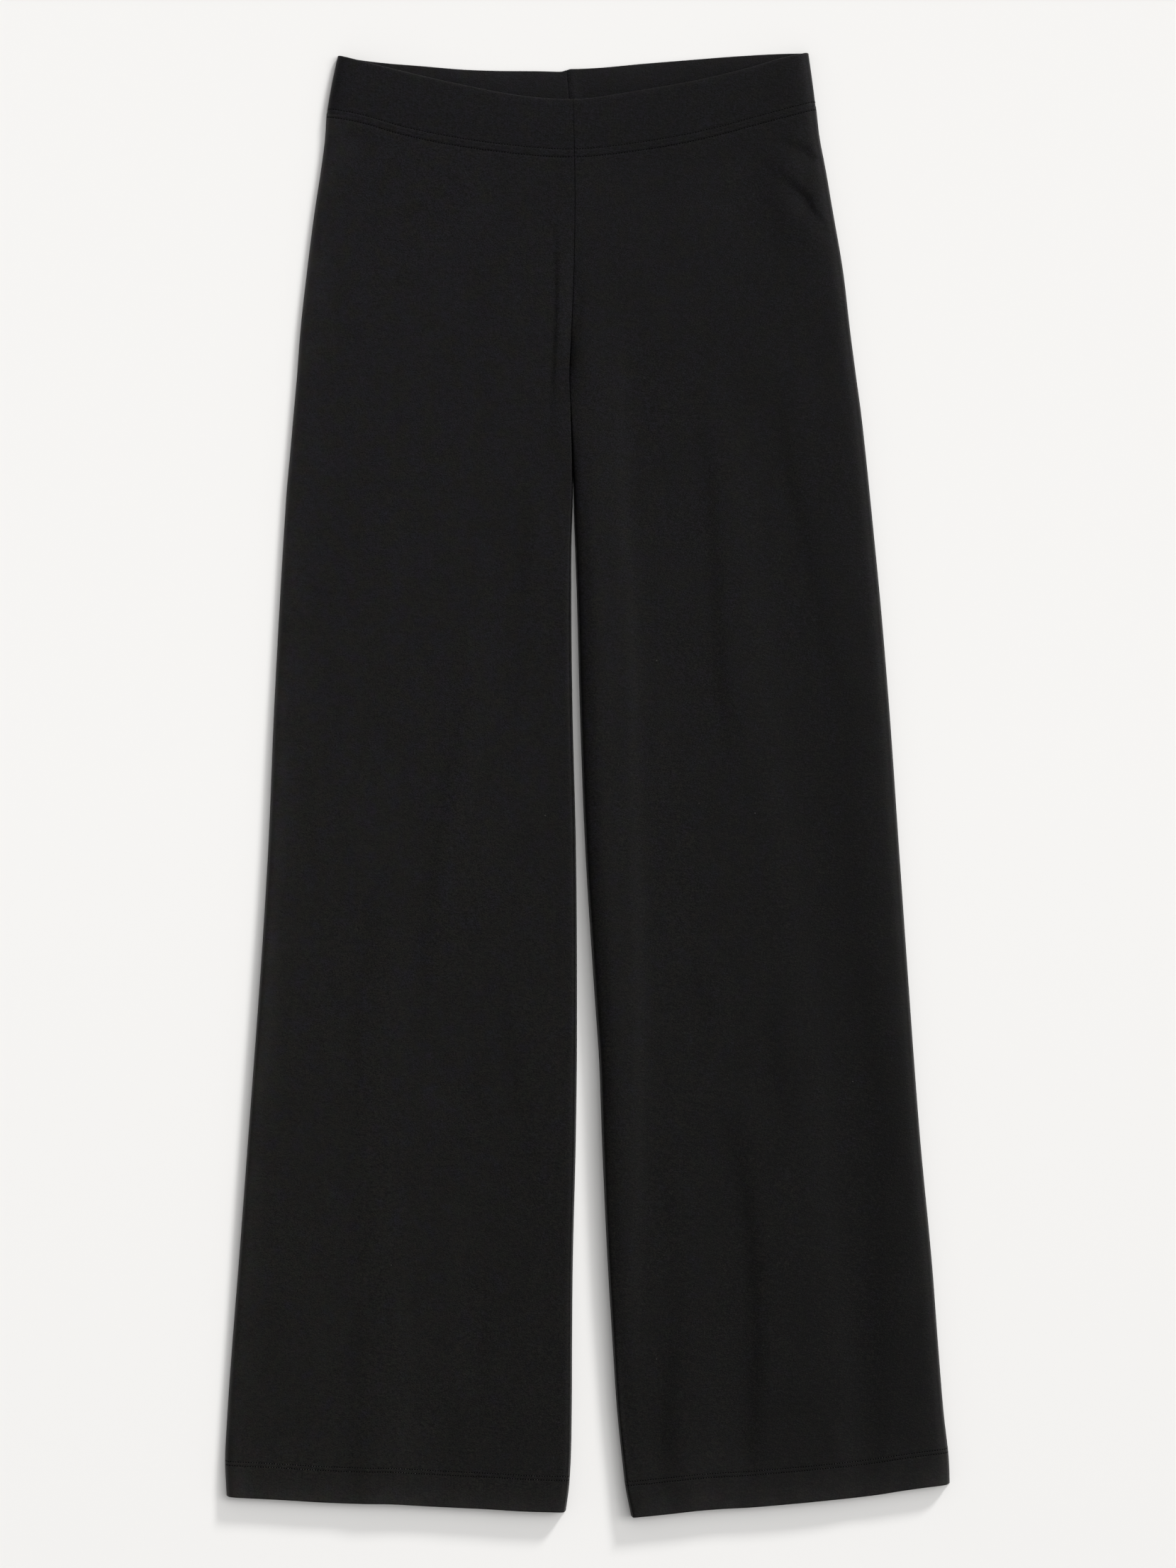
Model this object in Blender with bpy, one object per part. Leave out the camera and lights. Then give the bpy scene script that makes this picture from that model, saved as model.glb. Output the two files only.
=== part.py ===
"""Wide-leg leggings laid flat, front side up: the cloth as six sewn pieces.

A front and a back panel make each leg. The waistband is two halves that meet at the centre front and the centre
back, and each half is one strip folded double, which turns round the side fold. Every piece is a wall of cloth,
lofted through sections that run across the garment, one section for each row from the hem to the waist.

Frame: +X is the wearer's left, +Y runs from the hems to the waist, +Z is up from the surface that the garment
lies on. The tables and sizes are in millimetres and the meshes are in metres.
"""
from typing import NamedTuple

import bmesh
import bpy
import numpy as np

METRE = 0.001               # metres in a millimetre

# Cloth
PLY = 1.2                   # one thickness of the knit
HEM_WALL = 2.0              # two plies, pressed, where the hem is turned up
BAND_WALL = 2.2             # two plies of the waistband
HEM_DEPTH = 25.4            # depth of the turned hem
SEAM_GAP = 0.3              # between two pieces that are sewn together
BAND_FOLD = 2.4             # height of the outermost line of the waistband's side folds

# How softly the front comes up from a fold: a short length is a steep rise
SIDE_SOFTNESS = 4.0
INSEAM_SOFTNESS = {"right": 1.5, "left": 5.0}
CENTRE_DIP = 0.5            # how far the centre front seam pulls the cloth down

# The centre seams run down to the crotch, where the four panels meet
FRONT_TURN = (258.0, 330.0)     # the front seam dives between these heights

# Rows of a panel, by distance up from the hem, and its columns, by distance in from each side
HEM_ROWS = (0.0, HEM_DEPTH - 1.4, HEM_DEPTH + 1.6)
FRONT_ROW_STEP = 26.5
BACK_ROW_STEP = 53.0
FRONT_EDGE_COLUMNS = (0.0, 1.0, 4.0, 12.0)
BACK_EDGE_COLUMNS = (0.0, 12.0)
BAND_FOLD_COLUMNS = (0.0, 0.7, BAND_FOLD)
FRONT_MIDDLE_COLUMNS = 12
BACK_MIDDLE_COLUMNS = 4
BAND_ROWS = 4


class Section(NamedTuple):
    """Where a level line across the garment meets the edges of its two legs."""
    height: float
    right_side: float
    right_inner: float
    left_inner: float
    left_side: float


SECTIONS = (
    #       height  right_side  right_inner  left_inner  left_side
    Section(-552.0, -271.4, -17.4, 33.2, 272.9),
    Section(-531.0, -272.6, -14.5, 29.0, 273.1),
    Section(-512.0, -273.4, -13.6, 26.4, 272.6),
    Section(-477.0, -271.8, -12.4, 22.6, 268.8),
    Section(-370.0, -263.8, -11.8, 15.6, 260.4),
    Section(-263.0, -255.7, -9.2, 10.6, 250.4),
    Section(-156.0, -247.7, -8.1, 4.8, 242.4),
    Section(-49.0, -240.9, -9.1, -2.1, 234.9),
    Section(57.0, -236.4, -11.8, -6.4, 227.5),
    Section(143.0, -231.8, -12.8, -8.6, 220.3),
    Section(218.0, -227.2, -11.4, -11.0, 212.9),
    Section(250.0, -224.3, -12.0, -11.6, 209.6),
    Section(282.0, -221.5, -13.3, -12.9, 206.0),
    Section(309.0, -219.1, -13.9, -13.6, 202.3),
    Section(341.0, -216.7, -12.4, -12.1, 198.1),
    Section(389.0, -211.4, -10.5, -10.2, 192.4),
    Section(432.0, -205.9, -9.8, -9.5, 185.0),
    Section(469.0, -200.3, -10.0, -9.7, 178.6),
    Section(488.0, -197.9, -10.4, -10.1, 174.9),
    Section(507.0, -196.7, -11.0, -10.7, 172.7),
    Section(530.0, -192.9, -11.6, -11.3, 169.8),
    Section(552.0, -188.2, -12.4, -12.1, 166.7),
)


class Point(NamedTuple):
    """A point of a line that runs across the garment."""
    across: float
    height: float


HEM = {
    "right": (Point(-272.0, -537.2), Point(-232.0, -539.2), Point(-196.0, -541.3), Point(-172.0, -542.1),
              Point(-148.0, -542.4), Point(-124.0, -543.8), Point(-100.0, -545.0), Point(-76.0, -546.1),
              Point(-52.0, -547.6), Point(-17.0, -548.7)),
    "left": (Point(33.0, -552.6), Point(60.0, -549.9), Point(84.0, -547.2), Point(100.0, -546.0),
             Point(120.0, -545.0), Point(144.0, -543.0), Point(180.0, -539.6), Point(216.0, -535.7),
             Point(240.0, -531.9), Point(264.0, -528.8), Point(273.0, -527.8)),
}
FRONT_WAIST_SEAM = (
    Point(-196.6, 506.9), Point(-171.0, 502.0), Point(-142.0, 493.6), Point(-100.0, 484.8), Point(-62.0, 479.5),
    Point(-12.0, 476.0), Point(39.0, 481.0), Point(94.0, 491.4), Point(121.0, 498.6), Point(150.0, 506.4),
    Point(172.5, 512.2),
)
BACK_WAIST_SEAM = (
    Point(-196.6, 506.9), Point(-150.0, 502.5), Point(-96.0, 498.6), Point(-12.0, 497.8), Point(39.0, 501.4),
    Point(94.0, 506.0), Point(145.0, 510.0), Point(172.5, 512.2),
)
FRONT_TOP_EDGE = (
    Point(-188.6, 550.2), Point(-142.0, 538.5), Point(-96.0, 528.0), Point(-44.0, 518.7), Point(-12.3, 516.9),
    Point(39.0, 523.5), Point(94.0, 533.7), Point(121.0, 540.4), Point(148.0, 548.2), Point(166.7, 552.2),
)
BACK_TOP_EDGE = (
    Point(-188.6, 550.2), Point(-175.0, 547.6), Point(-151.0, 544.6), Point(-127.0, 542.7), Point(-91.0, 539.8),
    Point(-67.0, 539.1), Point(-40.0, 539.2), Point(-12.3, 539.4), Point(5.0, 540.6), Point(41.0, 544.2),
    Point(77.0, 547.2), Point(113.0, 550.0), Point(149.0, 551.9), Point(166.7, 552.2),
)


class Level(NamedTuple):
    """How high each leg's front lies, over its open hollow, at one height of the outline."""
    height: float
    right: float
    left: float


LEVELS = (
    #     height  right left
    Level(-553.0, 10.2, 10.4),
    Level(-515.0, 10.9, 11.1),
    Level(-440.0, 10.3, 10.5),
    Level(-330.0, 9.6, 10.0),
    Level(-100.0, 9.2, 9.9),
    Level(100.0, 9.2, 9.9),
    Level(250.0, 9.2, 9.4),
    Level(330.0, 9.2, 9.2),
    Level(420.0, 9.4, 9.4),
    Level(500.0, 9.8, 9.8),
    Level(552.0, 9.6, 9.6),
)


class Flank(NamedTuple):
    """One side of a long fold, where the front steps up (a rise over 0) or down on the way to +X."""
    foot_across: float
    foot_height: float
    head_across: float
    head_height: float
    rise: float
    width: float


FLANKS = {
    "right": (
        #     foot_across foot_height head_across head_height rise width
        Flank(-178.0, -600.0, -166.0, -90.0, 1.4, 26.0),
        Flank(-138.0, -600.0, -142.0, 20.0, -0.7, 26.0),
        Flank(-112.0, -600.0, -120.0, -50.0, 1.0, 24.0),
        Flank(-62.0, -600.0, -52.0, -150.0, 0.9, 40.0),
    ),
    "left": (
        Flank(38.0, -360.0, 32.0, 330.0, -1.2, 24.0),
        Flank(66.0, -600.0, 60.0, -260.0, 1.3, 24.0),
        Flank(100.0, -600.0, 98.0, -410.0, -0.9, 24.0),
        Flank(128.0, -600.0, 108.0, -240.0, 1.9, 24.0),
        Flank(101.0, 20.0, 92.0, 260.0, 1.0, 24.0),
        Flank(149.0, -60.0, 136.0, 160.0, -0.9, 26.0),
        Flank(198.0, -600.0, 172.0, -140.0, -1.8, 26.0),
        Flank(224.0, -600.0, 160.0, 240.0, 1.4, 30.0),
    ),
}
FLANK_FADE = 60.0           # a flank dies out over this length at each end
FLANK_CLEAR = 26.0          # and within this distance of a side


class Finish(NamedTuple):
    """Colour, roughness and metallic value of a cloth."""
    colour: tuple
    roughness: float
    metallic: float


BLACK_KNIT = Finish((0.012, 0.012, 0.012, 1.0), 0.9, 0.0)


def smooth_line(rows, at):
    """Reads the smooth line through (place, value) rows at the places asked for, a cubic between each two rows."""
    place, value = np.array([row[:2] for row in rows], float).T
    slope = np.gradient(value, place)
    at = np.clip(np.asarray(at, float), place[0], place[-1])
    left = np.clip(np.searchsorted(place, at) - 1, 0, len(place) - 2)
    span = place[left + 1] - place[left]
    t = (at - place[left]) / span
    start = (1 + 2 * t) * (1 - t) ** 2 * value[left] + t * (1 - t) ** 2 * span * slope[left]
    end = t ** 2 * (3 - 2 * t) * value[left + 1] + t ** 2 * (t - 1) * span * slope[left + 1]
    return start + end


def soft_step(at, low, high):
    """0 below low, 1 above high, and an S-shaped turn between."""
    t = np.clip((at - low) / (high - low), 0, 1)
    return t * t * (3 - 2 * t)


def levelling(distance, softness):
    """How far the cloth has come up, 0 to 1, at a distance in from a fold: upright at first, then level."""
    return 1 - np.exp(-np.sqrt(np.maximum(distance, 0) / softness))


def edge_line(column):
    """The (height, across) rows of one edge of the outline, by its name in Section."""
    return [(section.height, getattr(section, column)) for section in SECTIONS]


def level_line(leg):
    """The (height, rise) rows of one leg's front."""
    return [(level.height, getattr(level, leg)) for level in LEVELS]


def fold_height(leg, across, height):
    """The flanks' height above or below the front's level, half of each step on either side of it."""
    total = np.zeros_like(across)
    for flank in FLANKS[leg]:
        along = (height - flank.foot_height) / (flank.head_height - flank.foot_height)
        line = flank.foot_across + (flank.head_across - flank.foot_across) * along
        length = flank.head_height - flank.foot_height
        fade = soft_step(along * length, 0, FLANK_FADE) * soft_step((1 - along) * length, 0, FLANK_FADE)
        total += flank.rise / 2 * np.tanh(2 * (across - line) / flank.width) * fade
    return total


def spaced(width, edge_columns, middle_columns):
    """Places from 0 to 1 across a width: close together near both sides, evenly spaced between."""
    near = np.array(edge_columns) / width
    middle = np.linspace(near[-1], 1 - near[-1], middle_columns + 2)
    return np.concatenate([near[:-1], middle, (1 - near[:-1])[::-1]])


def panel_rows(length, row_step):
    """Places from 0 to 1 up a panel: the turned hem's own rows, then even ones."""
    start = HEM_ROWS[-1]
    count = round((length - start) / row_step)
    return np.concatenate([HEM_ROWS[:-1], np.linspace(start, length, count + 1)]) / length


class Panel:
    """The plan of one panel: a grid of points from the hem (first row) to the waist, from the side to the middle.

    It holds across and height for every point, the distances in from both edges along each row, and the height of
    each row's inner end, as arrays with a row for each section.
    """

    def __init__(self, leg, waist_seam, row_step, edge_columns, middle_columns):
        self.leg = leg
        side = edge_line(leg + "_side")
        inner = edge_line(leg + "_inner")
        ends = [-1, 0] if leg == "left" else [0, -1]
        hem_ends = [HEM[leg][ends[0]], HEM[leg][ends[1]]]
        waist_side = waist_seam[-1] if leg == "left" else waist_seam[0]
        centre = smooth_line(inner, smooth_line(waist_seam, -11.0))
        hem_x = lambda u: hem_ends[0].across + (hem_ends[1].across - hem_ends[0].across) * u
        waist_x = lambda u: waist_side.across + (centre - waist_side.across) * u
        width = abs(hem_ends[1].across - hem_ends[0].across)
        u = spaced(width, edge_columns, middle_columns)
        length = waist_side.height - hem_ends[0].height
        v = panel_rows(length, row_step)[:, None]
        hem_y = smooth_line(HEM[leg], hem_x(u))[None, :]
        waist_y = smooth_line(waist_seam, waist_x(u))[None, :] - SEAM_GAP
        self.height = hem_y + length * v + (waist_y - hem_y - length) * v ** 2
        self.side_height = self.height[:, :1]
        self.inner_height = self.height[:, -1:]
        side_x = smooth_line(side, self.side_height)
        inner_x = smooth_line(inner, self.inner_height)
        self.across = side_x + (inner_x - side_x) * u[None, :]
        row_width = np.abs(inner_x - side_x)
        self.from_side = row_width * u[None, :]
        self.from_inner = row_width * (1 - u[None, :])
        above_hem = v * length
        self.wall = HEM_WALL + (PLY - HEM_WALL) * soft_step(above_hem, HEM_ROWS[1], HEM_ROWS[2])
        self.towards_middle = -1.0 if leg == "left" else 1.0


def front_rise(leg, across, height, from_side, from_inner, open_centre, start):
    """Height of the front's outer face, from its start just above the back panel at a side.

    open_centre is 1 where the row ends at the centre seam, 0 where it ends at the inseam.
    """
    level = smooth_line(level_line(leg), height) - CENTRE_DIP * open_centre * np.exp(-from_inner / 4)
    clear = soft_step(from_side, 0, FLANK_CLEAR)
    clear = clear * np.maximum(soft_step(from_inner, 0, FLANK_CLEAR), open_centre)
    level = level + fold_height(leg, across, height) * clear
    inner = open_centre + (1 - open_centre) * levelling(from_inner, INSEAM_SOFTNESS[leg])
    return start + (level - start) * levelling(from_side, SIDE_SOFTNESS) * inner


def section_normals(outer_x, outer_z, outward_x, outward_z):
    """Unit normals of each section's outer line, from its own slope, turned to the side that faces out."""
    along_x = np.gradient(outer_x, axis=1)
    along_z = np.gradient(outer_z, axis=1)
    turn = np.sign(-along_z * outward_x + along_x * outward_z)
    length = np.hypot(along_x, along_z)
    return -along_z / length * turn, along_x / length * turn


def wall_of(outer, normal_x, normal_z, wall):
    """The inner face: every outer point moved in by the wall's thickness, against its section's normal."""
    inner = outer.copy()
    inner[..., 0] -= normal_x * wall
    inner[..., 2] -= normal_z * wall
    return inner


def set_end_normals(normal_x, normal_z, column, outward_x, upright, up):
    """Turns the normals of an end column: level (upright 0) at a fold, and up or down (upright 1) at a seam."""
    angle = upright * np.pi / 2
    normal_x[:, column] = outward_x * np.cos(angle[:, 0])
    normal_z[:, column] = up * np.sin(angle[:, 0])


def front_panel(leg):
    """Outer and inner faces of a front panel."""
    panel = Panel(leg, FRONT_WAIST_SEAM, FRONT_ROW_STEP, FRONT_EDGE_COLUMNS, FRONT_MIDDLE_COLUMNS)
    open_centre = soft_step(panel.inner_height, *FRONT_TURN)
    start = panel.wall + SEAM_GAP
    rise = front_rise(leg, panel.across, panel.height, panel.from_side, panel.from_inner, open_centre, start)
    outer = np.stack([panel.across, panel.height, rise], axis=-1)
    normal_x, normal_z = section_normals(panel.across, rise, 0.0, 1.0)
    inwards = panel.towards_middle
    set_end_normals(normal_x, normal_z, 0, -inwards, np.zeros_like(open_centre), 1.0)
    set_end_normals(normal_x, normal_z, -1, inwards, open_centre, 1.0)
    return outer, wall_of(outer, normal_x, normal_z, panel.wall)


def back_panel(leg):
    """Lower and upper faces of a back panel, which lies flat on the surface."""
    panel = Panel(leg, BACK_WAIST_SEAM, BACK_ROW_STEP, BACK_EDGE_COLUMNS, BACK_MIDDLE_COLUMNS)
    lower = np.stack([panel.across, panel.height, np.zeros_like(panel.across)], axis=-1)
    return lower, lower + np.array([0.0, 0.0, 1.0]) * panel.wall[..., None]


def band_half(leg):
    """Outer and inner faces of half the waistband, from the centre front round the side fold to the centre back."""
    end = -1 if leg == "left" else 0
    side = edge_line(leg + "_side")
    inner = edge_line(leg + "_inner")
    inwards = -1.0 if leg == "left" else 1.0
    v = np.linspace(0, 1, BAND_ROWS)[:, None]
    faces = []
    for seam, top, edge_columns, middle in (
            (FRONT_WAIST_SEAM, FRONT_TOP_EDGE, FRONT_EDGE_COLUMNS, FRONT_MIDDLE_COLUMNS),
            (BACK_WAIST_SEAM, BACK_TOP_EDGE, BAND_FOLD_COLUMNS, BACK_MIDDLE_COLUMNS)):
        centres = [smooth_line(inner, smooth_line(line, -11.0)) for line in (seam, top)]
        width = abs(centres[0] - seam[end].across)
        u = spaced(width, edge_columns, middle)[None, :]
        seam_y = smooth_line(seam, seam[end].across + (centres[0] - seam[end].across) * u)
        top_y = smooth_line(top, top[end].across + (centres[1] - top[end].across) * u)
        height = seam_y + (top_y - seam_y) * v
        side_x = smooth_line(side, height[:, :1])
        centre_x = centres[0] + (centres[1] - centres[0]) * v
        across = side_x + (centre_x - side_x) * u
        faces.append((across, height, np.abs(centre_x - side_x) * u))
    (front_x, front_y, front_in), (back_x, back_y, back_in) = faces
    level = smooth_line(level_line(leg), front_y)
    front_z = BAND_FOLD + (level - BAND_FOLD) * levelling(front_in, SIDE_SOFTNESS)
    in_from_edge = np.clip(BAND_FOLD - back_in, 0, BAND_FOLD)
    back_z = BAND_FOLD - np.sqrt(BAND_FOLD ** 2 - in_from_edge ** 2)
    front = np.stack([front_x, front_y, front_z], axis=-1)[:, ::-1]
    back = np.stack([back_x, back_y, back_z], axis=-1)
    front_nx, front_nz = section_normals(front[..., 0], front[..., 2], 0.0, 1.0)
    back_nx, back_nz = section_normals(back[..., 0], back[..., 2], 0.0, -1.0)
    front_nx[:, -1], front_nz[:, -1] = -inwards, 0.0
    front_nx[:, 0], front_nz[:, 0] = 0.0, 1.0
    back_nx[:, -1], back_nz[:, -1] = 0.0, -1.0
    outer = np.concatenate([front, back[:, 1:]], axis=1)
    normal_x = np.concatenate([front_nx, back_nx[:, 1:]], axis=1)
    normal_z = np.concatenate([front_nz, back_nz[:, 1:]], axis=1)
    return outer, wall_of(outer, normal_x, normal_z, BAND_WALL)


def cloth_mesh(name, outer, inner):
    """A closed wall of cloth between two grids of points, with a rim all round."""
    rows, columns = outer.shape[:2]
    points = np.concatenate([outer.reshape(-1, 3), inner.reshape(-1, 3)]) * METRE
    mesh = bpy.data.meshes.new(name)
    bm = bmesh.new()
    verts = [bm.verts.new(point) for point in points]
    out = np.arange(rows * columns).reshape(rows, columns)
    back = out + rows * columns
    for i in range(rows - 1):
        for j in range(columns - 1):
            for face in (out, back):
                bm.faces.new([verts[k] for k in (face[i, j], face[i, j + 1], face[i + 1, j + 1], face[i + 1, j])])
    rim = [(out[:, 0], back[:, 0]), (out[:, -1], back[:, -1]), (out[0], back[0]), (out[-1], back[-1])]
    for outer_line, inner_line in rim:
        for k in range(len(outer_line) - 1):
            corners = (outer_line[k], outer_line[k + 1], inner_line[k + 1], inner_line[k])
            bm.faces.new([verts[c] for c in corners])
    bmesh.ops.recalc_face_normals(bm, faces=bm.faces)
    bm.to_mesh(mesh)
    bm.free()
    mesh.shade_smooth()
    mesh.set_sharp_from_angle(angle=0.7)
    return mesh


def cloth_material(name, finish):
    """A plain Principled material with the cloth's colour, roughness and metallic value."""
    material = bpy.data.materials.new(name)
    material.use_nodes = True
    shader = material.node_tree.nodes["Principled BSDF"]
    shader.inputs["Base Color"].default_value = finish.colour
    shader.inputs["Roughness"].default_value = finish.roughness
    shader.inputs["Metallic"].default_value = finish.metallic
    return material


def add_piece(name, outer, inner):
    """Adds one sewn piece to the scene as its own object."""
    mesh = cloth_mesh(name, outer, inner)
    mesh.materials.append(cloth_material(name + "_knit", BLACK_KNIT))
    bpy.context.scene.collection.objects.link(bpy.data.objects.new(name, mesh))


def main():
    """Builds the six pieces, centred on the origin in plan."""
    for old in list(bpy.data.objects):
        bpy.data.objects.remove(old)
    pieces = {}
    for leg in ("right", "left"):
        pieces["front_leg_" + leg] = front_panel(leg)
        pieces["back_leg_" + leg] = back_panel(leg)
        pieces["waistband_" + leg] = band_half(leg)
    points = np.concatenate([face.reshape(-1, 3) for pair in pieces.values() for face in pair])
    middle = (points.min(axis=0) + points.max(axis=0)) / 2
    middle[2] = 0.0
    for name, (outer, inner) in pieces.items():
        add_piece(name, outer - middle, inner - middle)


main()
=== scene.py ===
"""Looks of black wide-leg leggings laid flat, front side up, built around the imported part.

Each leg is a front and a back panel of fine jersey, and the waistband is two halves of one strip folded double.
Every piece is a closed wall of cloth with rounded edges, worked out on a fine grid from tables of the outline, of
the height at which the front lies and of the folds that the cloth has taken. Two-needle coverstitching holds the
waist seam and the turned hems, and its thread is modelled stitch by stitch.

Frame: +X is the wearer's left, +Y runs from the hems to the waist, +Z is up. Sizes are in millimetres and angles in
degrees, and a mesh is turned to metres when it is made.
"""

import logging
import math
from dataclasses import dataclass
from enum import Enum
from typing import Callable, NamedTuple, Sequence

import bmesh
import bpy
import numpy as np
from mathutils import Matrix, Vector

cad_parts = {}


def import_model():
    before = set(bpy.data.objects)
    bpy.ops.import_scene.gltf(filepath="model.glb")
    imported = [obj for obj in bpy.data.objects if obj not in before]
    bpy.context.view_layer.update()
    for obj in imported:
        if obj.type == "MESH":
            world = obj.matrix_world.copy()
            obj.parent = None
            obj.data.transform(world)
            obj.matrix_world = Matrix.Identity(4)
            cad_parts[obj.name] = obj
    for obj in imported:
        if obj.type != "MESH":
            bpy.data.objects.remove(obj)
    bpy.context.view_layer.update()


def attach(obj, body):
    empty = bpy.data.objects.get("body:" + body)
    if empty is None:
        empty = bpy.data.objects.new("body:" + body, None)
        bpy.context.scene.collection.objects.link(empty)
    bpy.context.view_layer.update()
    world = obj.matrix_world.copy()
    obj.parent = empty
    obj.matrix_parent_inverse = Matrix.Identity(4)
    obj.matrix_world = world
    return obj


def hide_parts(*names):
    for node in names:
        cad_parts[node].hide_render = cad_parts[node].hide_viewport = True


LOG = logging.getLogger("leggings")

METRE = 0.001                   # metres in a millimetre
WELD, SLIVER = 2e-6, 1e-7       # metres within which vertices are one, and edges are nothing
LAY_CENTRE = (-0.173, -0.2)     # middle of the outline, which the model has at its origin
Array = np.ndarray
Shape = Callable[[Array, Array], Array]     # points by the shares u and v of the way across and up a piece


class Leg(Enum):
    """Which leg, by the wearer's side."""
    RIGHT = "right"
    LEFT = "left"

    @property
    def inwards(self) -> float:
        """1 where the middle of the garment is towards +X, -1 where it is towards -X."""
        return 1.0 if self is Leg.RIGHT else -1.0


class Ply(Enum):
    """Which side of the garment a panel makes."""
    FRONT = "front"
    BACK = "back"

    @property
    def up(self) -> float:
        """1 where the panel's outer face looks up, -1 where the garment lies on it."""
        return 1.0 if self is Ply.FRONT else -1.0


class Slot(Enum):
    """The record's material slots."""
    LEG = "leg_knit"
    BAND = "band_knit"


# --- The cut: the CAD part's lines, with the inner edges of the legs refined ---

class Section(NamedTuple):
    """Where a level line across the garment meets the edges of its two legs."""
    height: float
    right_side: float
    right_inner: float
    left_inner: float
    left_side: float


SECTIONS = tuple(Section(*row) for row in (
    #       height  right_side  right_inner  left_inner  left_side
    (-552.0, -271.4, -17.4, 33.2, 272.9),
    (-531.0, -272.6, -14.5, 29.0, 273.1),
    (-512.0, -273.4, -13.2, 26.7, 272.6),
    (-477.0, -271.8, -12.4, 23.0, 268.8),
    (-420.0, -267.8, -12.1, 19.1, 264.1),
    (-370.0, -263.8, -11.7, 16.0, 260.4),
    (-263.0, -255.7, -9.2, 11.0, 250.4),
    (-210.0, -251.7, -8.5, 9.1, 246.3),
    (-156.0, -247.7, -8.4, 5.4, 242.4),
    (-49.0, -240.9, -9.2, -1.4, 234.9),
    (57.0, -236.4, -11.8, -5.5, 227.5),
    (143.0, -231.8, -12.7, -7.8, 220.3),
    (190.0, -229.0, -12.4, -9.5, 215.7),
    (204.0, -228.1, -11.9, -10.0, 214.3),
    (218.0, -227.2, -11.5, -10.3, 212.9),
    (250.0, -224.3, -11.7, -11.3, 209.6),
    (282.0, -221.5, -12.9, -12.5, 206.0),
    (309.0, -219.1, -13.8, -13.5, 202.3),
    (341.0, -216.7, -12.4, -12.1, 198.1),
    (389.0, -211.4, -10.5, -10.2, 192.4),
    (432.0, -205.9, -9.8, -9.5, 185.0),
    (469.0, -200.3, -10.0, -9.7, 178.6),
    (488.0, -197.9, -10.35, -10.15, 174.9),
    (507.0, -196.7, -10.95, -10.8, 172.7),
    (530.0, -192.9, -11.55, -11.4, 169.8),
    (552.0, -188.2, -12.35, -12.2, 166.7),
))


class Point(NamedTuple):
    """A point of a line that runs across the garment."""
    across: float
    height: float


def line(*points: tuple) -> tuple:
    """A line across the garment through (across, height) points."""
    return tuple(Point(*point) for point in points)


HEM = {
    Leg.RIGHT: line((-272.0, -537.2), (-232.0, -539.2), (-196.0, -541.3), (-172.0, -542.1), (-148.0, -542.4),
                    (-124.0, -543.8), (-100.0, -545.0), (-76.0, -546.1), (-52.0, -547.6), (-17.0, -548.7)),
    Leg.LEFT: line((33.0, -552.6), (60.0, -549.9), (84.0, -547.2), (100.0, -546.0), (120.0, -545.0),
                   (144.0, -543.0), (180.0, -539.6), (216.0, -535.7), (240.0, -531.9), (264.0, -528.8),
                   (273.0, -527.8)),
}
WAIST_SEAM = {
    Ply.FRONT: line((-196.6, 506.9), (-171.0, 502.0), (-142.0, 493.6), (-100.0, 484.8), (-62.0, 479.5),
                    (-12.0, 476.0), (39.0, 481.0), (94.0, 491.4), (121.0, 498.6), (150.0, 506.4), (172.5, 512.2)),
    Ply.BACK: line((-196.6, 506.9), (-150.0, 502.5), (-96.0, 498.6), (-12.0, 497.8), (39.0, 501.4), (94.0, 506.0),
                   (145.0, 510.0), (172.5, 512.2)),
}
TOP_EDGE = {
    Ply.FRONT: line((-188.6, 550.2), (-142.0, 538.5), (-96.0, 528.0), (-44.0, 518.7), (-12.3, 516.9), (39.0, 523.5),
                    (94.0, 533.7), (121.0, 540.4), (148.0, 548.2), (166.7, 552.2)),
    Ply.BACK: line((-188.6, 550.2), (-175.0, 547.6), (-151.0, 544.6), (-127.0, 542.7), (-91.0, 539.8),
                   (-67.0, 539.1), (-40.0, 539.2), (-12.3, 539.4), (5.0, 540.6), (41.0, 544.2), (77.0, 547.2),
                   (113.0, 550.0), (149.0, 551.9), (166.7, 552.2)),
}
SEAM_MEETS_CENTRE = -11.0       # across, where the waist lines are read for the height of the centre seams


class Level(NamedTuple):
    """How high each leg's front lies, over its open hollow, at one height of the outline."""
    height: float
    right: float
    left: float


LEVELS = tuple(Level(*row) for row in (
    # height  right  left
    (-553.0, 12.2, 12.2),
    (-528.0, 10.7, 10.8),
    (-500.0, 9.7, 9.9),
    (-460.0, 9.3, 9.6),
    (-330.0, 9.3, 9.6),
    (-100.0, 9.2, 9.6),
    (100.0, 9.2, 9.5),
    (250.0, 9.2, 9.3),
    (330.0, 9.2, 9.2),
    (420.0, 9.3, 9.3),
    (500.0, 9.5, 9.5),
    (552.0, 9.6, 9.6),
))


# --- The folds that the cloth has taken ---

class Mark(NamedTuple):
    """One mark on a fold's flank: its place, how far the cloth steps up towards +X there, and over what width."""
    height: float
    across: float
    rise: float
    width: float


def fold(*marks: tuple) -> tuple:
    """A flank's marks, from the lowest up."""
    return tuple(sorted(Mark(*mark) for mark in marks))


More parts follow.
